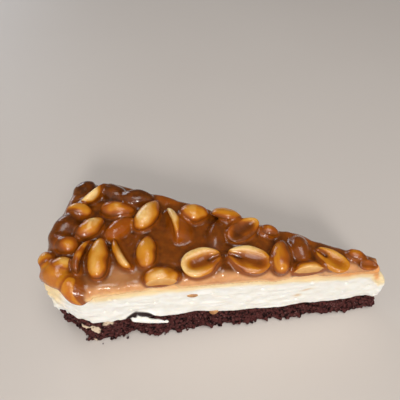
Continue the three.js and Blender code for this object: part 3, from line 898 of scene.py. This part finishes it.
KERNEL_LOOKS: dict[str, KernelLook] = {
    "peanut_half_back_corner": KernelLook(Tone.CREAM, 1.1, 140, 0.4),
    "peanut_whole_rim_back": KernelLook(Tone.GOLD, 0.95, 90),
    "peanut_whole_back_left": KernelLook(Tone.CREAM, 0.78, 170),
    "peanut_whole_rim_middle": KernelLook(Tone.CREAM, 1.0, 200),
    "peanut_whole_rim_front": KernelLook(Tone.GOLD, 0.64, 180),
    "peanut_broken_rim": KernelLook(Tone.CREAM, 0.9),
    "peanut_whole_corner": KernelLook(Tone.GOLD, 1.0),
    "peanut_half_left_edge": KernelLook(Tone.GOLD, 0.8, 180, 0.9),
    "peanut_whole_left_front": KernelLook(Tone.GOLD, 1.0, 20),
    "peanut_half_left_ridge": KernelLook(Tone.CREAM, 1.25, 180, 0.3),
    "peanut_whole_middle_left": KernelLook(Tone.AMBER, 1.1, 20),
    "peanut_whole_bright": KernelLook(Tone.CREAM, 1.3, 10),
    "peanut_half_middle_ridge": KernelLook(Tone.CREAM, 1.2, None, 0.4, 0.0, 0.2, 24),
    "peanut_whole_back_middle": KernelLook(Tone.GOLD, 0.88, 100),
    "peanut_half_back_edge": KernelLook(Tone.AMBER, 0.8),
    "peanut_half_back_open": KernelLook(Tone.GOLD, 0.85, 300, 0.8, 0.0, 0.6),
    "peanut_half_front_open": KernelLook(Tone.CREAM, 1.85, 340, 1.0, 1.1, 0.3),
    "peanut_half_front_notched": KernelLook(Tone.CREAM, 1.45, 330, 0.9, 1.2, 0.3),
    "peanut_whole_orange": KernelLook(Tone.ORANGE, 0.8, 20),
    "peanut_broken_back": KernelLook(Tone.ORANGE, 0.55),
    "peanut_half_near_tip": KernelLook(Tone.GOLD, 1.75, 300, 0.5, 1.3, 0.15),
    "peanut_whole_tip_back": KernelLook(Tone.BROWN, 0.6),
    "peanut_half_tip": KernelLook(Tone.AMBER, 0.6, None, 0.4),
    "peanut_cut_front_right": KernelLook(Tone.CREAM, 1.0, 90),
    "peanut_cut_front_middle": KernelLook(Tone.CREAM, 0.94),
    "peanut_corner_overhang": KernelLook(Tone.ORANGE, 1.5),
    "peanut_cut_back_left": KernelLook(Tone.GOLD, 0.7, 270),
    "peanut_cut_back_right": KernelLook(Tone.GOLD, 0.7, 270),
}


def wrapped(rings: int, sides: int) -> Array:
    """Gives the triangles of a tube of rings that is closed by two end corners."""
    faces = []
    last, start = (rings - 1) * sides, rings * sides
    for a in range(last):
        b = a - a % sides + (a + 1) % sides
        faces += [(a, a + sides, b), (b, a + sides, b + sides)]
    for k in range(sides):
        n = (k + 1) % sides
        faces += [(start, k, n), (start + 1, last + n, last + k)]
    return np.array(faces)


def heading(degrees: float) -> Array:
    """Gives the level direction of a heading, counted from +X towards +Y."""
    angle = math.radians(degrees)
    return np.array([math.cos(angle), math.sin(angle), 0.0])


@dataclass
class Kernel:
    """One peanut kernel, whole, split or sliced by the knife, in the pose of its node.

    Building it sets its mesh, and for each corner the share of the bowl and of the germ's
    groove, and whether the knife cut it.
    """

    name: str
    centre: Array
    along: Array
    up: Array
    half_length: float
    half_width: float
    seed: int
    split: bool = False
    cut_normal: Optional[Array] = None
    cut_level: float = 0.0
    cup: float = 0.9
    notch: float = 0.0

    RINGS = 40
    SIDES = 56
    RIM = 0.9
    THICK_RATIO = 0.93
    FULLNESS = 2.6
    ROUNDING = 0.48
    TAPER = 0.24
    END_DROP = 0.7
    BEND = 0.35
    SWELL = 0.16
    WRINKLE = 0.05
    SPLIT_LIKENESS = 0.93
    CUT_LIKENESS = 0.999

    @classmethod
    def from_node(cls, node: FrameNode, look: KernelLook, seed: int) -> "Kernel":
        """Reads a kernel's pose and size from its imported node.

        Args:
            node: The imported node.
            look: How the kernel shows.
            seed: Number that fixes its small unevenness.

        Returns:
            The kernel with its fine mesh.
        """
        points = node.points
        gaps = np.linalg.norm(points[:, None] - points[None], axis=2)
        first, last = np.unravel_index(np.argmax(gaps), gaps.shape)
        middle = (points[first] + points[last]) / 2
        along = (points[last] - points[first]) / gaps[first, last]
        reach = (points - middle) @ along
        radius = np.linalg.norm(points - middle - reach[:, None] * along, axis=1)
        if radius[reach > 1].mean() > radius[reach < -1].mean():
            along = -along
        split = "_half_" in node.name
        up = node.flat_side(cls.SPLIT_LIKENESS, along) if split else np.array([0.0, 0.0, 1.0])
        up = up - (up @ along) * along
        up /= np.linalg.norm(up)
        across = np.cross(up, along)
        turn = math.radians(look.turn)
        up, across = (up * math.cos(turn) + across * math.sin(turn),
                      across * math.cos(turn) - up * math.sin(turn))
        wide = np.abs((points - middle) @ across).max() if split else radius.max()
        centre = middle + (cls.END_DROP * up if split else 0)
        cut = node.flat_side(cls.CUT_LIKENESS) if "_cut_" in node.name else None
        level = 0.0 if cut is None else float((points @ cut).max())
        return cls(node.name, centre, along, up, gaps[first, last] / 2, wide, seed, split, cut,
                   level, look.cup, look.notch)

    def __post_init__(self) -> None:
        """Builds the kernel's fine mesh."""
        rings, sides, half = self.RINGS, self.SIDES, self.half_length
        share = 0.5 - 0.5 * np.cos(np.pi * np.arange(1, rings + 1) / (rings + 1))
        body = (1 - np.abs(2 * share - 1) ** self.FULLNESS) ** self.ROUNDING
        body = body * (1 - self.TAPER * ease(share, 0.5, 1))
        u, wide = share[:, None], self.half_width * body[:, None]
        x = (2 * u - 1) * half + np.zeros((1, sides))
        y, z, pool, groove = self._rings(u, wide)
        bend = np.random.default_rng(self.seed + 100).uniform(-self.BEND, self.BEND)
        y = y + bend * np.sin(np.pi * u)
        drop = -self.END_DROP if self.split else 0.0
        local = np.vstack([np.stack([x, y, z], axis=-1).reshape(-1, 3),
                           [[-half, 0, drop], [half, 0, drop]]])
        self.pool, self.groove = (np.append(values.ravel(), [0, 0]) for values in (pool, groove))
        self.sliced = np.zeros(len(self.pool))
        self.faces = wrapped(rings, sides)
        swell = self.SWELL * SmoothNoise(3.2, 300 + self.seed).at(local)
        swell += self.WRINKLE * SmoothNoise((2.5, 1.0, 1.0), 400 + self.seed).at(local)
        outward = local * [0.4, 1, 1]
        outward /= np.maximum(np.linalg.norm(outward, axis=1), 1e-6)[:, None]
        local = local + outward * swell[:, None]
        axes = np.stack([self.along, np.cross(self.up, self.along), self.up])
        self.points = self.centre + local @ axes
        if self.cut_normal is not None:
            beyond = self.points @ self.cut_normal - self.cut_level
            self.points = self.points - np.outer(np.clip(beyond, 0, None), self.cut_normal)
            self.sliced = (beyond > 0).astype(float)

    def _rings(self, u: Array, wide: Array) -> tuple[Array, ...]:
        """Lays out the rings. Those of a split kernel are hollowed on its flat face.

        Args:
            u: Place along the kernel, from 0 at the blunt end to 1 at the pointed one.
            wide: Half width of each ring.

        Returns:
            Sideways place, height, share of the bowl and share of the germ's groove.
        """
        if not self.split:
            turn = 2 * np.pi * np.arange(self.SIDES)[None, :] / self.SIDES
            empty = np.zeros(np.broadcast(u, turn).shape)
            return wide * np.cos(turn), wide * self.THICK_RATIO * np.sin(turn), empty, empty
        half = self.SIDES // 2
        turn = np.pi * np.arange(half)[None, :] / half
        rim = np.minimum(self.RIM, 0.35 * wide)
        low_y = -wide * np.cos(turn)
        low_z = -rim - (wide * self.THICK_RATIO - rim) * np.sin(turn)
        side = np.cos(turn) + np.zeros_like(wide)
        beyond = np.clip((np.abs(side) - 0.68) / 0.32, 0, 1)
        edge = rim * (1 - np.sqrt(1 - beyond ** 2))
        ends = ease(u, 0.03, 0.32) * ease(1 - u, 0.03, 0.3)
        bowl = (1 - ease(np.abs(side), 0.05, 0.74)) * ends
        germ = bell(wide * side, 0, 0.75) * ease(u, 0.55, 0.74) * min(1.0, self.notch)
        drop = self.END_DROP * (1 - wide / self.half_width) ** 2
        top_z = -edge - self.cup * bowl - self.notch * germ
        empty = np.zeros_like(low_y)
        y, z, pool, groove = (np.concatenate(pair, axis=1) for pair in (
            (low_y, wide * side), (low_z, top_z), (empty, bowl * min(1.0, self.cup + 0.2)),
            (empty, germ)))
        return y, z - drop, pool, groove


@dataclass(frozen=True)
class Lump:
    """A kernel that lies wholly under the caramel.

    Rise is above the caramel's level. Shade runs from 0 for a thin coat to 1 for a dark one, and
    is below 0 for the thinnest.
    """

    x: float
    y: float
    rise: float
    heading: float
    length: float
    width: float
    shade: float = 0.3


LUMPS = (
    Lump(-60.2, 0.6, 0.2, 61, 10.5, 7.6, 0.55),
    Lump(-61.4, -5.9, -0.2, 300, 8.0, 6.2, 0.5),
    Lump(-57.6, -19.9, -1.6, 334, 10.0, 6.8, -0.2),
    Lump(-40.2, 1.2, 0.0, 52, 12.0, 6.6, 0.0),
    Lump(-36.8, 16.4, 0.4, 8, 12.5, 7.4, 0.5),
    Lump(-46.4, 18.6, 0.0, 337, 11.5, 7.0, 0.6),
    Lump(26.6, 1.2, 0.0, 284, 10.0, 6.4, 0.2),
    Lump(-4.4, 2.6, -0.3, 266, 12.0, 6.4, 0.3),
    Lump(-1.0, -9.2, -2.0, 90, 11.0, 6.2, 0.4),
    Lump(0.4, 8.6, -1.0, 350, 10.0, 5.4, 0.3),
    Lump(-18.4, 4.2, -0.4, 116, 12.5, 7.2, 0.15),
    Lump(-59.6, 21.4, -2.4, 60, 9.0, 7.0, 0.7),
)


def convex_hull(points: Array) -> Array:
    """Gives the corners of the smallest convex outline round points, counterclockwise."""
    ordered = sorted(map(tuple, np.unique(points.round(3), axis=0)))
    corners: list = []
    for sequence in (ordered, ordered[::-1]):
        line: list = []
        for x, y in sequence:
            while len(line) > 1 and (
                    (line[-1][0] - line[-2][0]) * (y - line[-2][1])
                    - (line[-1][1] - line[-2][1]) * (x - line[-2][0])) <= 0:
                line.pop()
            line.append((x, y))
        corners += line[:-1]
    return np.array(corners)


@dataclass
class CaramelTopping:
    """The caramel: a lumpy slab that climbs the kernels and coats some of them.

    It lies on the cream, and the kernels are those that show. Sizes are in mm.
    """

    cream: FrameNode
    kernels: Sequence[Kernel]
    step: float = 0.38
    thick: float = 4.3
    sink: float = 0.35
    film: float = 0.4
    bare_inset: float = 0.05
    fillet: float = 1.7
    edge_round: float = 3.0
    proud: float = 0.25
    tip_back: float = 1.4
    reach: float = 4.5
    lowest: float = 4.2
    dimple: float = 1.9
    apron: float = 1.2
    corner_drop: float = 3.4

    SWELLS = ((0.45, 13.0, 32), (0.3, 4.6, 33), (0.12, 2.1, 35))
    BACK_CORNER = (-58.5, 26.0)
    DRIP = (-46.4, -25.4, 32.0)
    DRIP_RADII = (2.0, 1.1, 2.4)
    LUMP_SEED = 50
    SHORTEST_SIDE = 0.05
    LEVEL_FACE = 0.85
    BEND_PASSES = 8
    LEVEL_PASSES = 34
    THICKEST = 0.96
    THINNING = 0.92
    POOL_FILM = 0.76
    COVER = 0.42

    def __post_init__(self) -> None:
        """Sets up the hidden kernels and the lattice."""
        self.top = self.cream.top_along()
        self.lumps = [self._hidden(lump, self.LUMP_SEED + i) for i, lump in enumerate(LUMPS)]
        low, high = self.cream.points.min(0), self.cream.points.max(0)
        self.volume = Volume([low[0] - 5, low[1] - 5, 25.0], high + [3, 5, 13], self.step)
        self.plan = self.volume.plan()
        self.slab = np.zeros(0)

    def _hidden(self, lump: Lump, seed: int) -> Kernel:
        """Builds the whole kernel inside a lump."""
        height = float(self.base(lump.x)) + self.thick + lump.rise
        return Kernel("lump", np.array([lump.x, lump.y, height]), heading(lump.heading),
                      np.array([0.0, 0.0, 1.0]), lump.length / 2, lump.width / 2, seed)

    def base(self, x: Array) -> Array:
        """Gives the height of the cream's top at places along the slice."""
        return np.interp(x, *self.top)

    def _away(self, x: float, y: float) -> Array:
        """Measures, in plan, how far each sample lies from a place."""
        return np.hypot(self.plan[..., 0] - x, self.plan[..., 1] - y)

    def _outline(self) -> Array:
        """Measures, in plan, how far each sample lies outside the cream's top."""
        height = self.cream.points[:, 2]
        hull = convex_hull(self.cream.points[height > height.max() - self.lowest, :2])
        x, y = self.plan[..., 0], self.plan[..., 1]
        outside = x - (hull[:, 0].max() - self.tip_back)
        for start, finish in zip(hull, np.roll(hull, -1, axis=0)):
            run = finish - start
            length = np.linalg.norm(run)
            if length >= self.SHORTEST_SIDE:
                side = ((x - start[0]) * run[1] - (y - start[1]) * run[0]) / length
                outside = np.maximum(outside, side)
        outside = outside + 0.3 * SmoothNoise(4.5, 31).at(self.plan)
        for kernel in self.kernels:
            if kernel.cut_normal is not None:
                near, far = 0.6 * kernel.half_length, 1.15 * kernel.half_length
                away = self._away(*kernel.centre[:2])
                outside = outside + 0.9 * (1 - ease(away, near, far))
        return outside

    def _slab(self, outside: Array) -> Array:
        """Builds the signed distance of the slab without kernels."""
        plan = self.plan
        place = self.volume.coordinates()
        base = self.base(plan[:, :1, 0])
        swell = sum(height * SmoothNoise(cell, seed).at(plan)
                    for height, cell, seed in self.SWELLS)
        apron = self.apron * bell(plan[..., 0], -35, 12) * ease(-plan[..., 1], 12, 20)
        top = base + self.thick + swell - apron
        top = top - self.corner_drop * (1 - ease(self._away(*self.BACK_CORNER), 1.0, 9.0))
        for kernel in self.kernels:
            if kernel.split and kernel.up[2] > self.LEVEL_FACE:
                away = self._away(*kernel.centre[:2])
                top = top - self.dimple * (1 - ease(away, 0.2 * kernel.half_width, 4.2))
        slope = np.gradient(top, self.step)
        tilt = np.sqrt(1 + slope[0] ** 2 + slope[1] ** 2)
        above = (place[2] - top[:, :, None]) / tilt[:, :, None]
        slab = round_max(above, outside[:, :, None] - self.proud, self.edge_round)
        drip = sum(((p - c) / r) ** 2 for p, c, r in zip(place, self.DRIP, self.DRIP_RADII))
        slab = smooth_min(slab, (np.sqrt(drip) - 1) * 1.2, 1.0)
        hang = 0.1 + 0.3 * SmoothNoise(4.0, 34).at(plan) + 0.5 * bell(plan[..., 0], -44, 5)
        skirt = np.where(outside > -0.7, np.clip(hang, 0, None), 0.0)
        return np.maximum(slab, (base - self.sink - skirt)[:, :, None] - place[2])

    def build(self, effects: Effects) -> Piece:
        """Builds the caramel and dresses it."""
        outside = self._outline()
        solid = self._slab(outside)
        nearest, coated = np.full((2, *solid.shape), self.reach)
        shade = np.zeros(solid.shape)
        for kind, lump in zip(LUMPS, self.lumps):
            part, distance = self._around(lump)
            solid[part] = smooth_min(solid[part], distance - self.film, self.fillet)
            shade[part] = np.where(distance < coated[part], kind.shade, shade[part])
            coated[part] = np.minimum(coated[part], distance)
        self.slab = solid.copy()
        for kernel in self.kernels:
            part, distance = self._around(kernel)
            solid[part] = smooth_min(solid[part], distance + self.bare_inset, self.fillet)
            nearest[part] = np.minimum(nearest[part], distance)
        x, _, z = self.volume.coordinates()
        solid = np.maximum(solid, self.base(x) - self.lowest - z)
        mesh = self.volume.surface(solid)
        marks = self._marks(mesh[0], solid, nearest, coated, shade, outside)
        return make_piece("caramel_topping", mesh, CaramelFinish().material(effects), marks)

    def _around(self, kernel: Kernel) -> tuple[Block, Array]:
        """Measures the distance to a kernel in the block around it."""
        reach = self.reach
        part = self.volume.block(kernel.points.min(0) - reach, kernel.points.max(0) + reach)
        return part, self.volume.distance(kernel.points, kernel.faces, reach, part)

    def _marks(self, points: Array, solid: Array, nearest: Array, coated: Array, shade: Array,
               outside: Array) -> Marks:
        """Works out the film's thickness, the painted shade in creases and valleys with the dark
        coat over hidden kernels, and the pale lip.

        Args:
            points: Corners of the caramel's mesh.
            solid: Signed distance of the caramel.
            nearest: Distance to the nearest kernel that shows.
            coated: Distance to the nearest kernel that is wholly coated.
            shade: How dark the coat is there.
            outside: Distance outside the outline, in plan.

        Returns:
            Values for each corner.
        """
        x, y, z = points.T
        levels = self.volume.axes[2]
        filled = np.where(solid < 0, levels[None, None, :], levels[0]).max(axis=2)
        maps = (nearest, coated, shade, outside, blurred(solid, self.BEND_PASSES),
                blurred(filled, self.LEVEL_PASSES))
        cover, hidden, shade, edge, bend, level = (self.volume.sample(m, points) for m in maps)
        ridge = 1 - ease(hidden, 0.5, 2.2)
        thin = np.clip(1 - 3 * shade, 0, 1.7)
        film = 0.8 + 0.2 * ease(cover, 0.0, 1.6) - ridge * (0.06 + 0.26 * thin)
        # Painted shade: darker below the softened caramel level away from the kernels, and in
        # creases.
        hollow = ease(level - z, 0.0, 2.2) * ease(cover, 0.0, 0.6)
        hollow = np.maximum(hollow, ease(-bend, 0.02, 0.3))
        from_front = y - front_face(x)
        front, rim = 1 - ease(from_front, 1.0, 4.0), ease(-x, 46, 52)
        lip = (0.12 + 0.76 * front * (1 - rim)) * ease(edge, -2.8, 0.0) * ease(cover, 0.4, 1.6)
        apron = 0.5 * bell(x, -37, 10) * (1 - ease(from_front, 3, 12))
        lip = np.maximum(lip, apron * ease(cover, 0.4, 2.0))
        # Joins the dark coat over hidden kernels to the painted shade.
        hollow = np.maximum(0.85 * hollow * (1 - lip), ridge * np.clip(shade, 0, 1))
        above = z - self.base(x)
        fade = (1 - ease(above, 0.1, 1.5)) * (1 - ease(from_front, 0.2, 1.2)) * (1 - 0.7 * rim)
        fade = fade * (1 - ease(x, 28, 38)) * ease(cover, 0.3, 1.2)
        return {"film": film, "hollow": hollow, "lip": lip, "fade": fade}

    def marks_on(self, kernel: Kernel, look: KernelLook) -> Marks:
        """Works out the caramel film on a kernel and the painted shade in its bowl, in its
        groove and at its foot, from 0 to 1.
        """
        rise = self.volume.sample(self.slab, kernel.points)
        share = rise / max(1.0, rise.max())
        wander = 0.16 * SmoothNoise(2.4, 500 + kernel.seed).at(kernel.points)
        bare = ease(share * look.bare + wander, 0.15, 1.08)
        if look.cover_heading is not None:
            side = (kernel.points - kernel.centre) @ heading(look.cover_heading)
            bare = bare - self.COVER * ease(side / kernel.half_width, -0.4, 1.2)
        film = self.THICKEST - self.THINNING * np.clip(bare, 0, 1)
        film = film + (self.POOL_FILM - film) * kernel.pool * (film < self.POOL_FILM)
        film = np.where(kernel.sliced > 0, 0.1 + 0.2 * film, film)
        # Painted shade low on the kernel, where it meets the caramel.
        foot = 0.85 * (1 - ease(share, 0.0, 0.46)) * (kernel.sliced == 0)
        # Painted shade in the germ's groove and in the bowl of a split kernel.
        dark = np.maximum(0.75 * kernel.groove, look.pool * kernel.pool)
        return {"film": film, "hollow": np.maximum(dark, foot)}


def pebble(rings: int, sides: int, lumpiness: float, noise: SmoothNoise) -> Mesh:
    """Makes a lumpy ball with a radius of about 1."""
    polar = np.pi * (np.arange(1, rings + 1) / (rings + 1))[:, None]
    turn = 2 * np.pi * np.arange(sides)[None, :] / sides
    ball = np.stack(np.broadcast_arrays(
        -np.cos(polar), np.sin(polar) * np.cos(turn), np.sin(polar) * np.sin(turn)), axis=-1)
    ball = np.vstack([ball.reshape(-1, 3), [[-1, 0, 0], [1, 0, 0]]])
    return ball * (1 + lumpiness * noise.at(ball))[:, None], wrapped(rings, sides)


def joined(meshes: Sequence[Mesh]) -> Mesh:
    """Puts several meshes into one."""
    starts = np.cumsum([0] + [len(points) for points, _ in meshes])
    return (np.vstack([points for points, _ in meshes]),
            np.vstack([faces + start for (_, faces), start in zip(meshes, starts)]))


class NutBits:
    """Chopped nut that shows in the cut faces of the cream."""

    @dataclass(frozen=True)
    class Bit:
        """One bit: its place, and its half sizes along the face, into it and upwards."""

        place: Triple
        half: Triple
        heading: float

    BITS = (
        Bit((-10.8, -16.2, 25.0), (2.4, 0.9, 1.2), 13),
        Bit((-2.8, -14.2, 9.9), (2.1, 1.0, 1.5), 13),
        Bit((12.0, 10.8, 21.0), (1.7, 0.9, 1.1), -13),
        Bit((-30.0, 20.6, 17.0), (2.2, 0.9, 1.3), -13),
        Bit((-63.6, 6.0, 22.0), (1.0, 1.9, 1.2), 0),
    )
    RINGS = 12
    SIDES = 18
    LUMPINESS = 0.22

    def build(self, effects: Effects) -> Piece:
        """Builds the bits as one piece and dresses them."""
        meshes = []
        for number, bit in enumerate(self.BITS):
            ball, faces = pebble(self.RINGS, self.SIDES, self.LUMPINESS,
                                 SmoothNoise(0.8, 600 + number))
            along = heading(bit.heading)
            axes = np.array([along, [-along[1], along[0], 0], [0, 0, 1]])
            meshes.append(((ball * bit.half) @ axes + bit.place, faces))
        return make_piece("nut_bits", joined(meshes), NutBitFinish().material(effects))


class LooseCrumbs:
    """Crust crumbs that have come off at the foot of the slice."""

    MATERIAL = "crumb_crust"
    PLACES = ((-51.6, -26.6), (-35.8, -24.4), (-45.0, -27.6), (-21.5, -21.4), (-3.0, 18.4),
              (-40.0, 26.2), (-65.6, 8.0))
    SEED = 9
    RADIUS = (0.25, 0.5)
    SQUASH = (0.7, 1.2)
    RINGS = 7
    SIDES = 10
    LUMPINESS = 0.35
    GAP = 0.02

    def build(self) -> Piece:
        """Builds the crumbs as one piece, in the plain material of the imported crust."""
        random = np.random.default_rng(self.SEED)
        meshes = []
        for number, (x, y) in enumerate(self.PLACES):
            size = random.uniform(*self.RADIUS)
            ball, faces = pebble(self.RINGS, self.SIDES, self.LUMPINESS,
                                 SmoothNoise(0.7, 700 + number))
            points = ball * size * random.uniform(*self.SQUASH, 3)
            points[:, 2] -= points[:, 2].min() - self.GAP
            meshes.append((points + [x, y, 0.0], faces))
        mesh = joined(meshes)
        return make_piece("loose_crumbs", mesh, bpy.data.materials[self.MATERIAL],
                          {"smear": np.zeros(len(mesh[0]))})


@dataclass(frozen=True)
class Camera:
    """The camera, as seen from the slice's front. Lengths in mm, angles in degrees."""

    place: Triple = (-4.64, -88.5, 155.06)
    heading: float = 3.91
    down: float = 47.6
    roll: float = 1.9
    focal_pixels: float = 401.0
    frame_pixels: float = 400.0
    sensor: float = 36.0
    nearest: float = 5.0

    def build(self) -> None:
        """Makes the camera and gives it to the scene."""
        turn, tilt, roll = (math.radians(a) for a in (self.heading, self.down, self.roll))
        forward = Vector((-math.sin(turn) * math.cos(tilt), math.cos(turn) * math.cos(tilt),
                          -math.sin(tilt)))
        level = Vector((math.cos(turn), math.sin(turn), 0))
        upright = level.cross(forward)
        right = level * math.cos(roll) + upright * math.sin(roll)
        up = upright * math.cos(roll) - level * math.sin(roll)
        data = bpy.data.cameras.new("camera")
        data.sensor_width = self.sensor
        data.lens = self.sensor * self.focal_pixels / self.frame_pixels
        data.clip_start = self.nearest * MM
        camera = bpy.data.objects.new("camera", data)
        basis = Matrix((right, up, -forward)).transposed().to_4x4()
        camera.matrix_world = Matrix.Translation(Vector(self.place) * MM) @ basis
        bpy.context.scene.collection.objects.link(camera)
        bpy.context.scene.camera = camera


@dataclass(frozen=True)
class Lamp:
    """A soft lamp that looks at the slice. Its place is in metres."""

    AIM = (0.0, 0.0, 0.02)

    name: str
    place: Triple
    size: float
    power: float
    colour: Triple

    def build(self) -> None:
        """Makes the lamp."""
        data = bpy.data.lights.new(self.name, "AREA")
        data.size = self.size
        data.energy = self.power
        data.color = self.colour
        lamp = bpy.data.objects.new(self.name, data)
        lamp.location = self.place
        aim = Vector(self.AIM) - Vector(self.place)
        lamp.rotation_euler = aim.to_track_quat("-Z", "Y").to_euler()
        bpy.context.scene.collection.objects.link(lamp)


class Studio:
    """A pale floor, soft lamps and the camera."""

    FLOOR_SIZE = 12.0
    FLOOR_CORNERS = 9
    FRONT_LIGHT = 0.52
    BACK_LIGHT = 0.1
    LIGHT_COLOUR = (0.93, 0.93, 0.93, 1)
    LAMPS = (
        Lamp("key_lamp", (0.12, -0.62, 0.46), 0.14, 2.5, (1.0, 0.985, 0.96)),
        Lamp("top_lamp", (0.10, -0.20, 0.9), 0.5, 3.4, (1.0, 0.99, 0.97)),
        Lamp("back_lamp", (-0.75, 0.85, 0.30), 0.5, 3.0, (0.82, 0.9, 1.0)),
    )

    def build(self) -> None:
        """Makes the floor, the lamps, the world and the camera."""
        self._floor()
        for lamp in self.LAMPS:
            lamp.build()
        self._surroundings()
        bpy.context.scene.view_settings.view_transform = "Standard"
        Camera().build()

    def _surroundings(self) -> None:
        """Makes a room that is bright in front of the slice and dim behind it."""
        world = bpy.data.worlds.new("studio")
        world.use_nodes = True
        nodes = Nodes(world.node_tree)
        split = nodes.add("SeparateXYZ", Vector=nodes.add("TexCoord").outputs["Generated"])
        strength = nodes.span(split.outputs["Y"], -0.5, 0.3, self.FRONT_LIGHT, self.BACK_LIGHT)
        nodes.wire(world.node_tree.nodes["Background"], Color=self.LIGHT_COLOUR,
                   Strength=strength)
        bpy.context.scene.world = world

    def _floor(self) -> None:
        """Makes the floor."""
        half, n = self.FLOOR_SIZE / 2 / MM, self.FLOOR_CORNERS
        steps = np.linspace(-half, half, n)
        x, y = np.meshgrid(steps, steps, indexing="ij")
        points = np.stack([x.ravel(), y.ravel(), np.zeros(x.size)], axis=1)
        faces = [(k, k + n, k + n + 1, k + 1) for k in range(n * (n - 1)) if (k + 1) % n]
        material, nodes, shader = new_material("floor")
        patches = nodes.noise(nodes.place(), 6.0, 2.0)
        colour = nodes.mix(patches, srgb(206, 196, 188), srgb(212, 203, 195))
        nodes.wire(shader, Base_Color=colour, Roughness=0.6)
        make_piece("floor", (points, faces), material)


def stand_for(piece: Piece, slot: str, *nodes: str) -> None:
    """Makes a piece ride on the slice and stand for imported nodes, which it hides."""
    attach(piece, BODY)
    if nodes:
        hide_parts(*nodes)
    log.info("%s: %d faces", piece.name, len(piece.data.polygons))


def main() -> None:
    """Builds the slice's looks, piece by piece."""
    logging.basicConfig(level=logging.INFO, format="%(message)s")
    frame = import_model()
    effects = Effects()
    nodes = {name: FrameNode.read(node) for name, node in frame["nodes"].items()}

    stand_for(CrustLayer(nodes["crust"], nodes["cream"]).build(effects), "crumb_crust", "crust")
    stand_for(LooseCrumbs().build(), "crumb_crust")
    stand_for(CreamLayer(nodes["cream"]).build(effects), "cream", "cream")
    stand_for(NutBits().build(effects), "peanut")

    kernels = [Kernel.from_node(nodes[name], look, seed)
               for seed, (name, look) in enumerate(KERNEL_LOOKS.items())]
    topping = CaramelTopping(nodes["cream"], kernels)
    stand_for(topping.build(effects), "caramel", "caramel")
    finishes = {tone: KernelFinish().material(tone, effects) for tone in Tone}
    for kernel in kernels:
        look = KERNEL_LOOKS[kernel.name]
        piece = make_piece(f"{kernel.name}_kernel", (kernel.points, kernel.faces),
                           finishes[look.tone], topping.marks_on(kernel, look))
        stand_for(piece, "peanut", kernel.name)

    Studio().build()


if __name__ == "__main__":
    main()
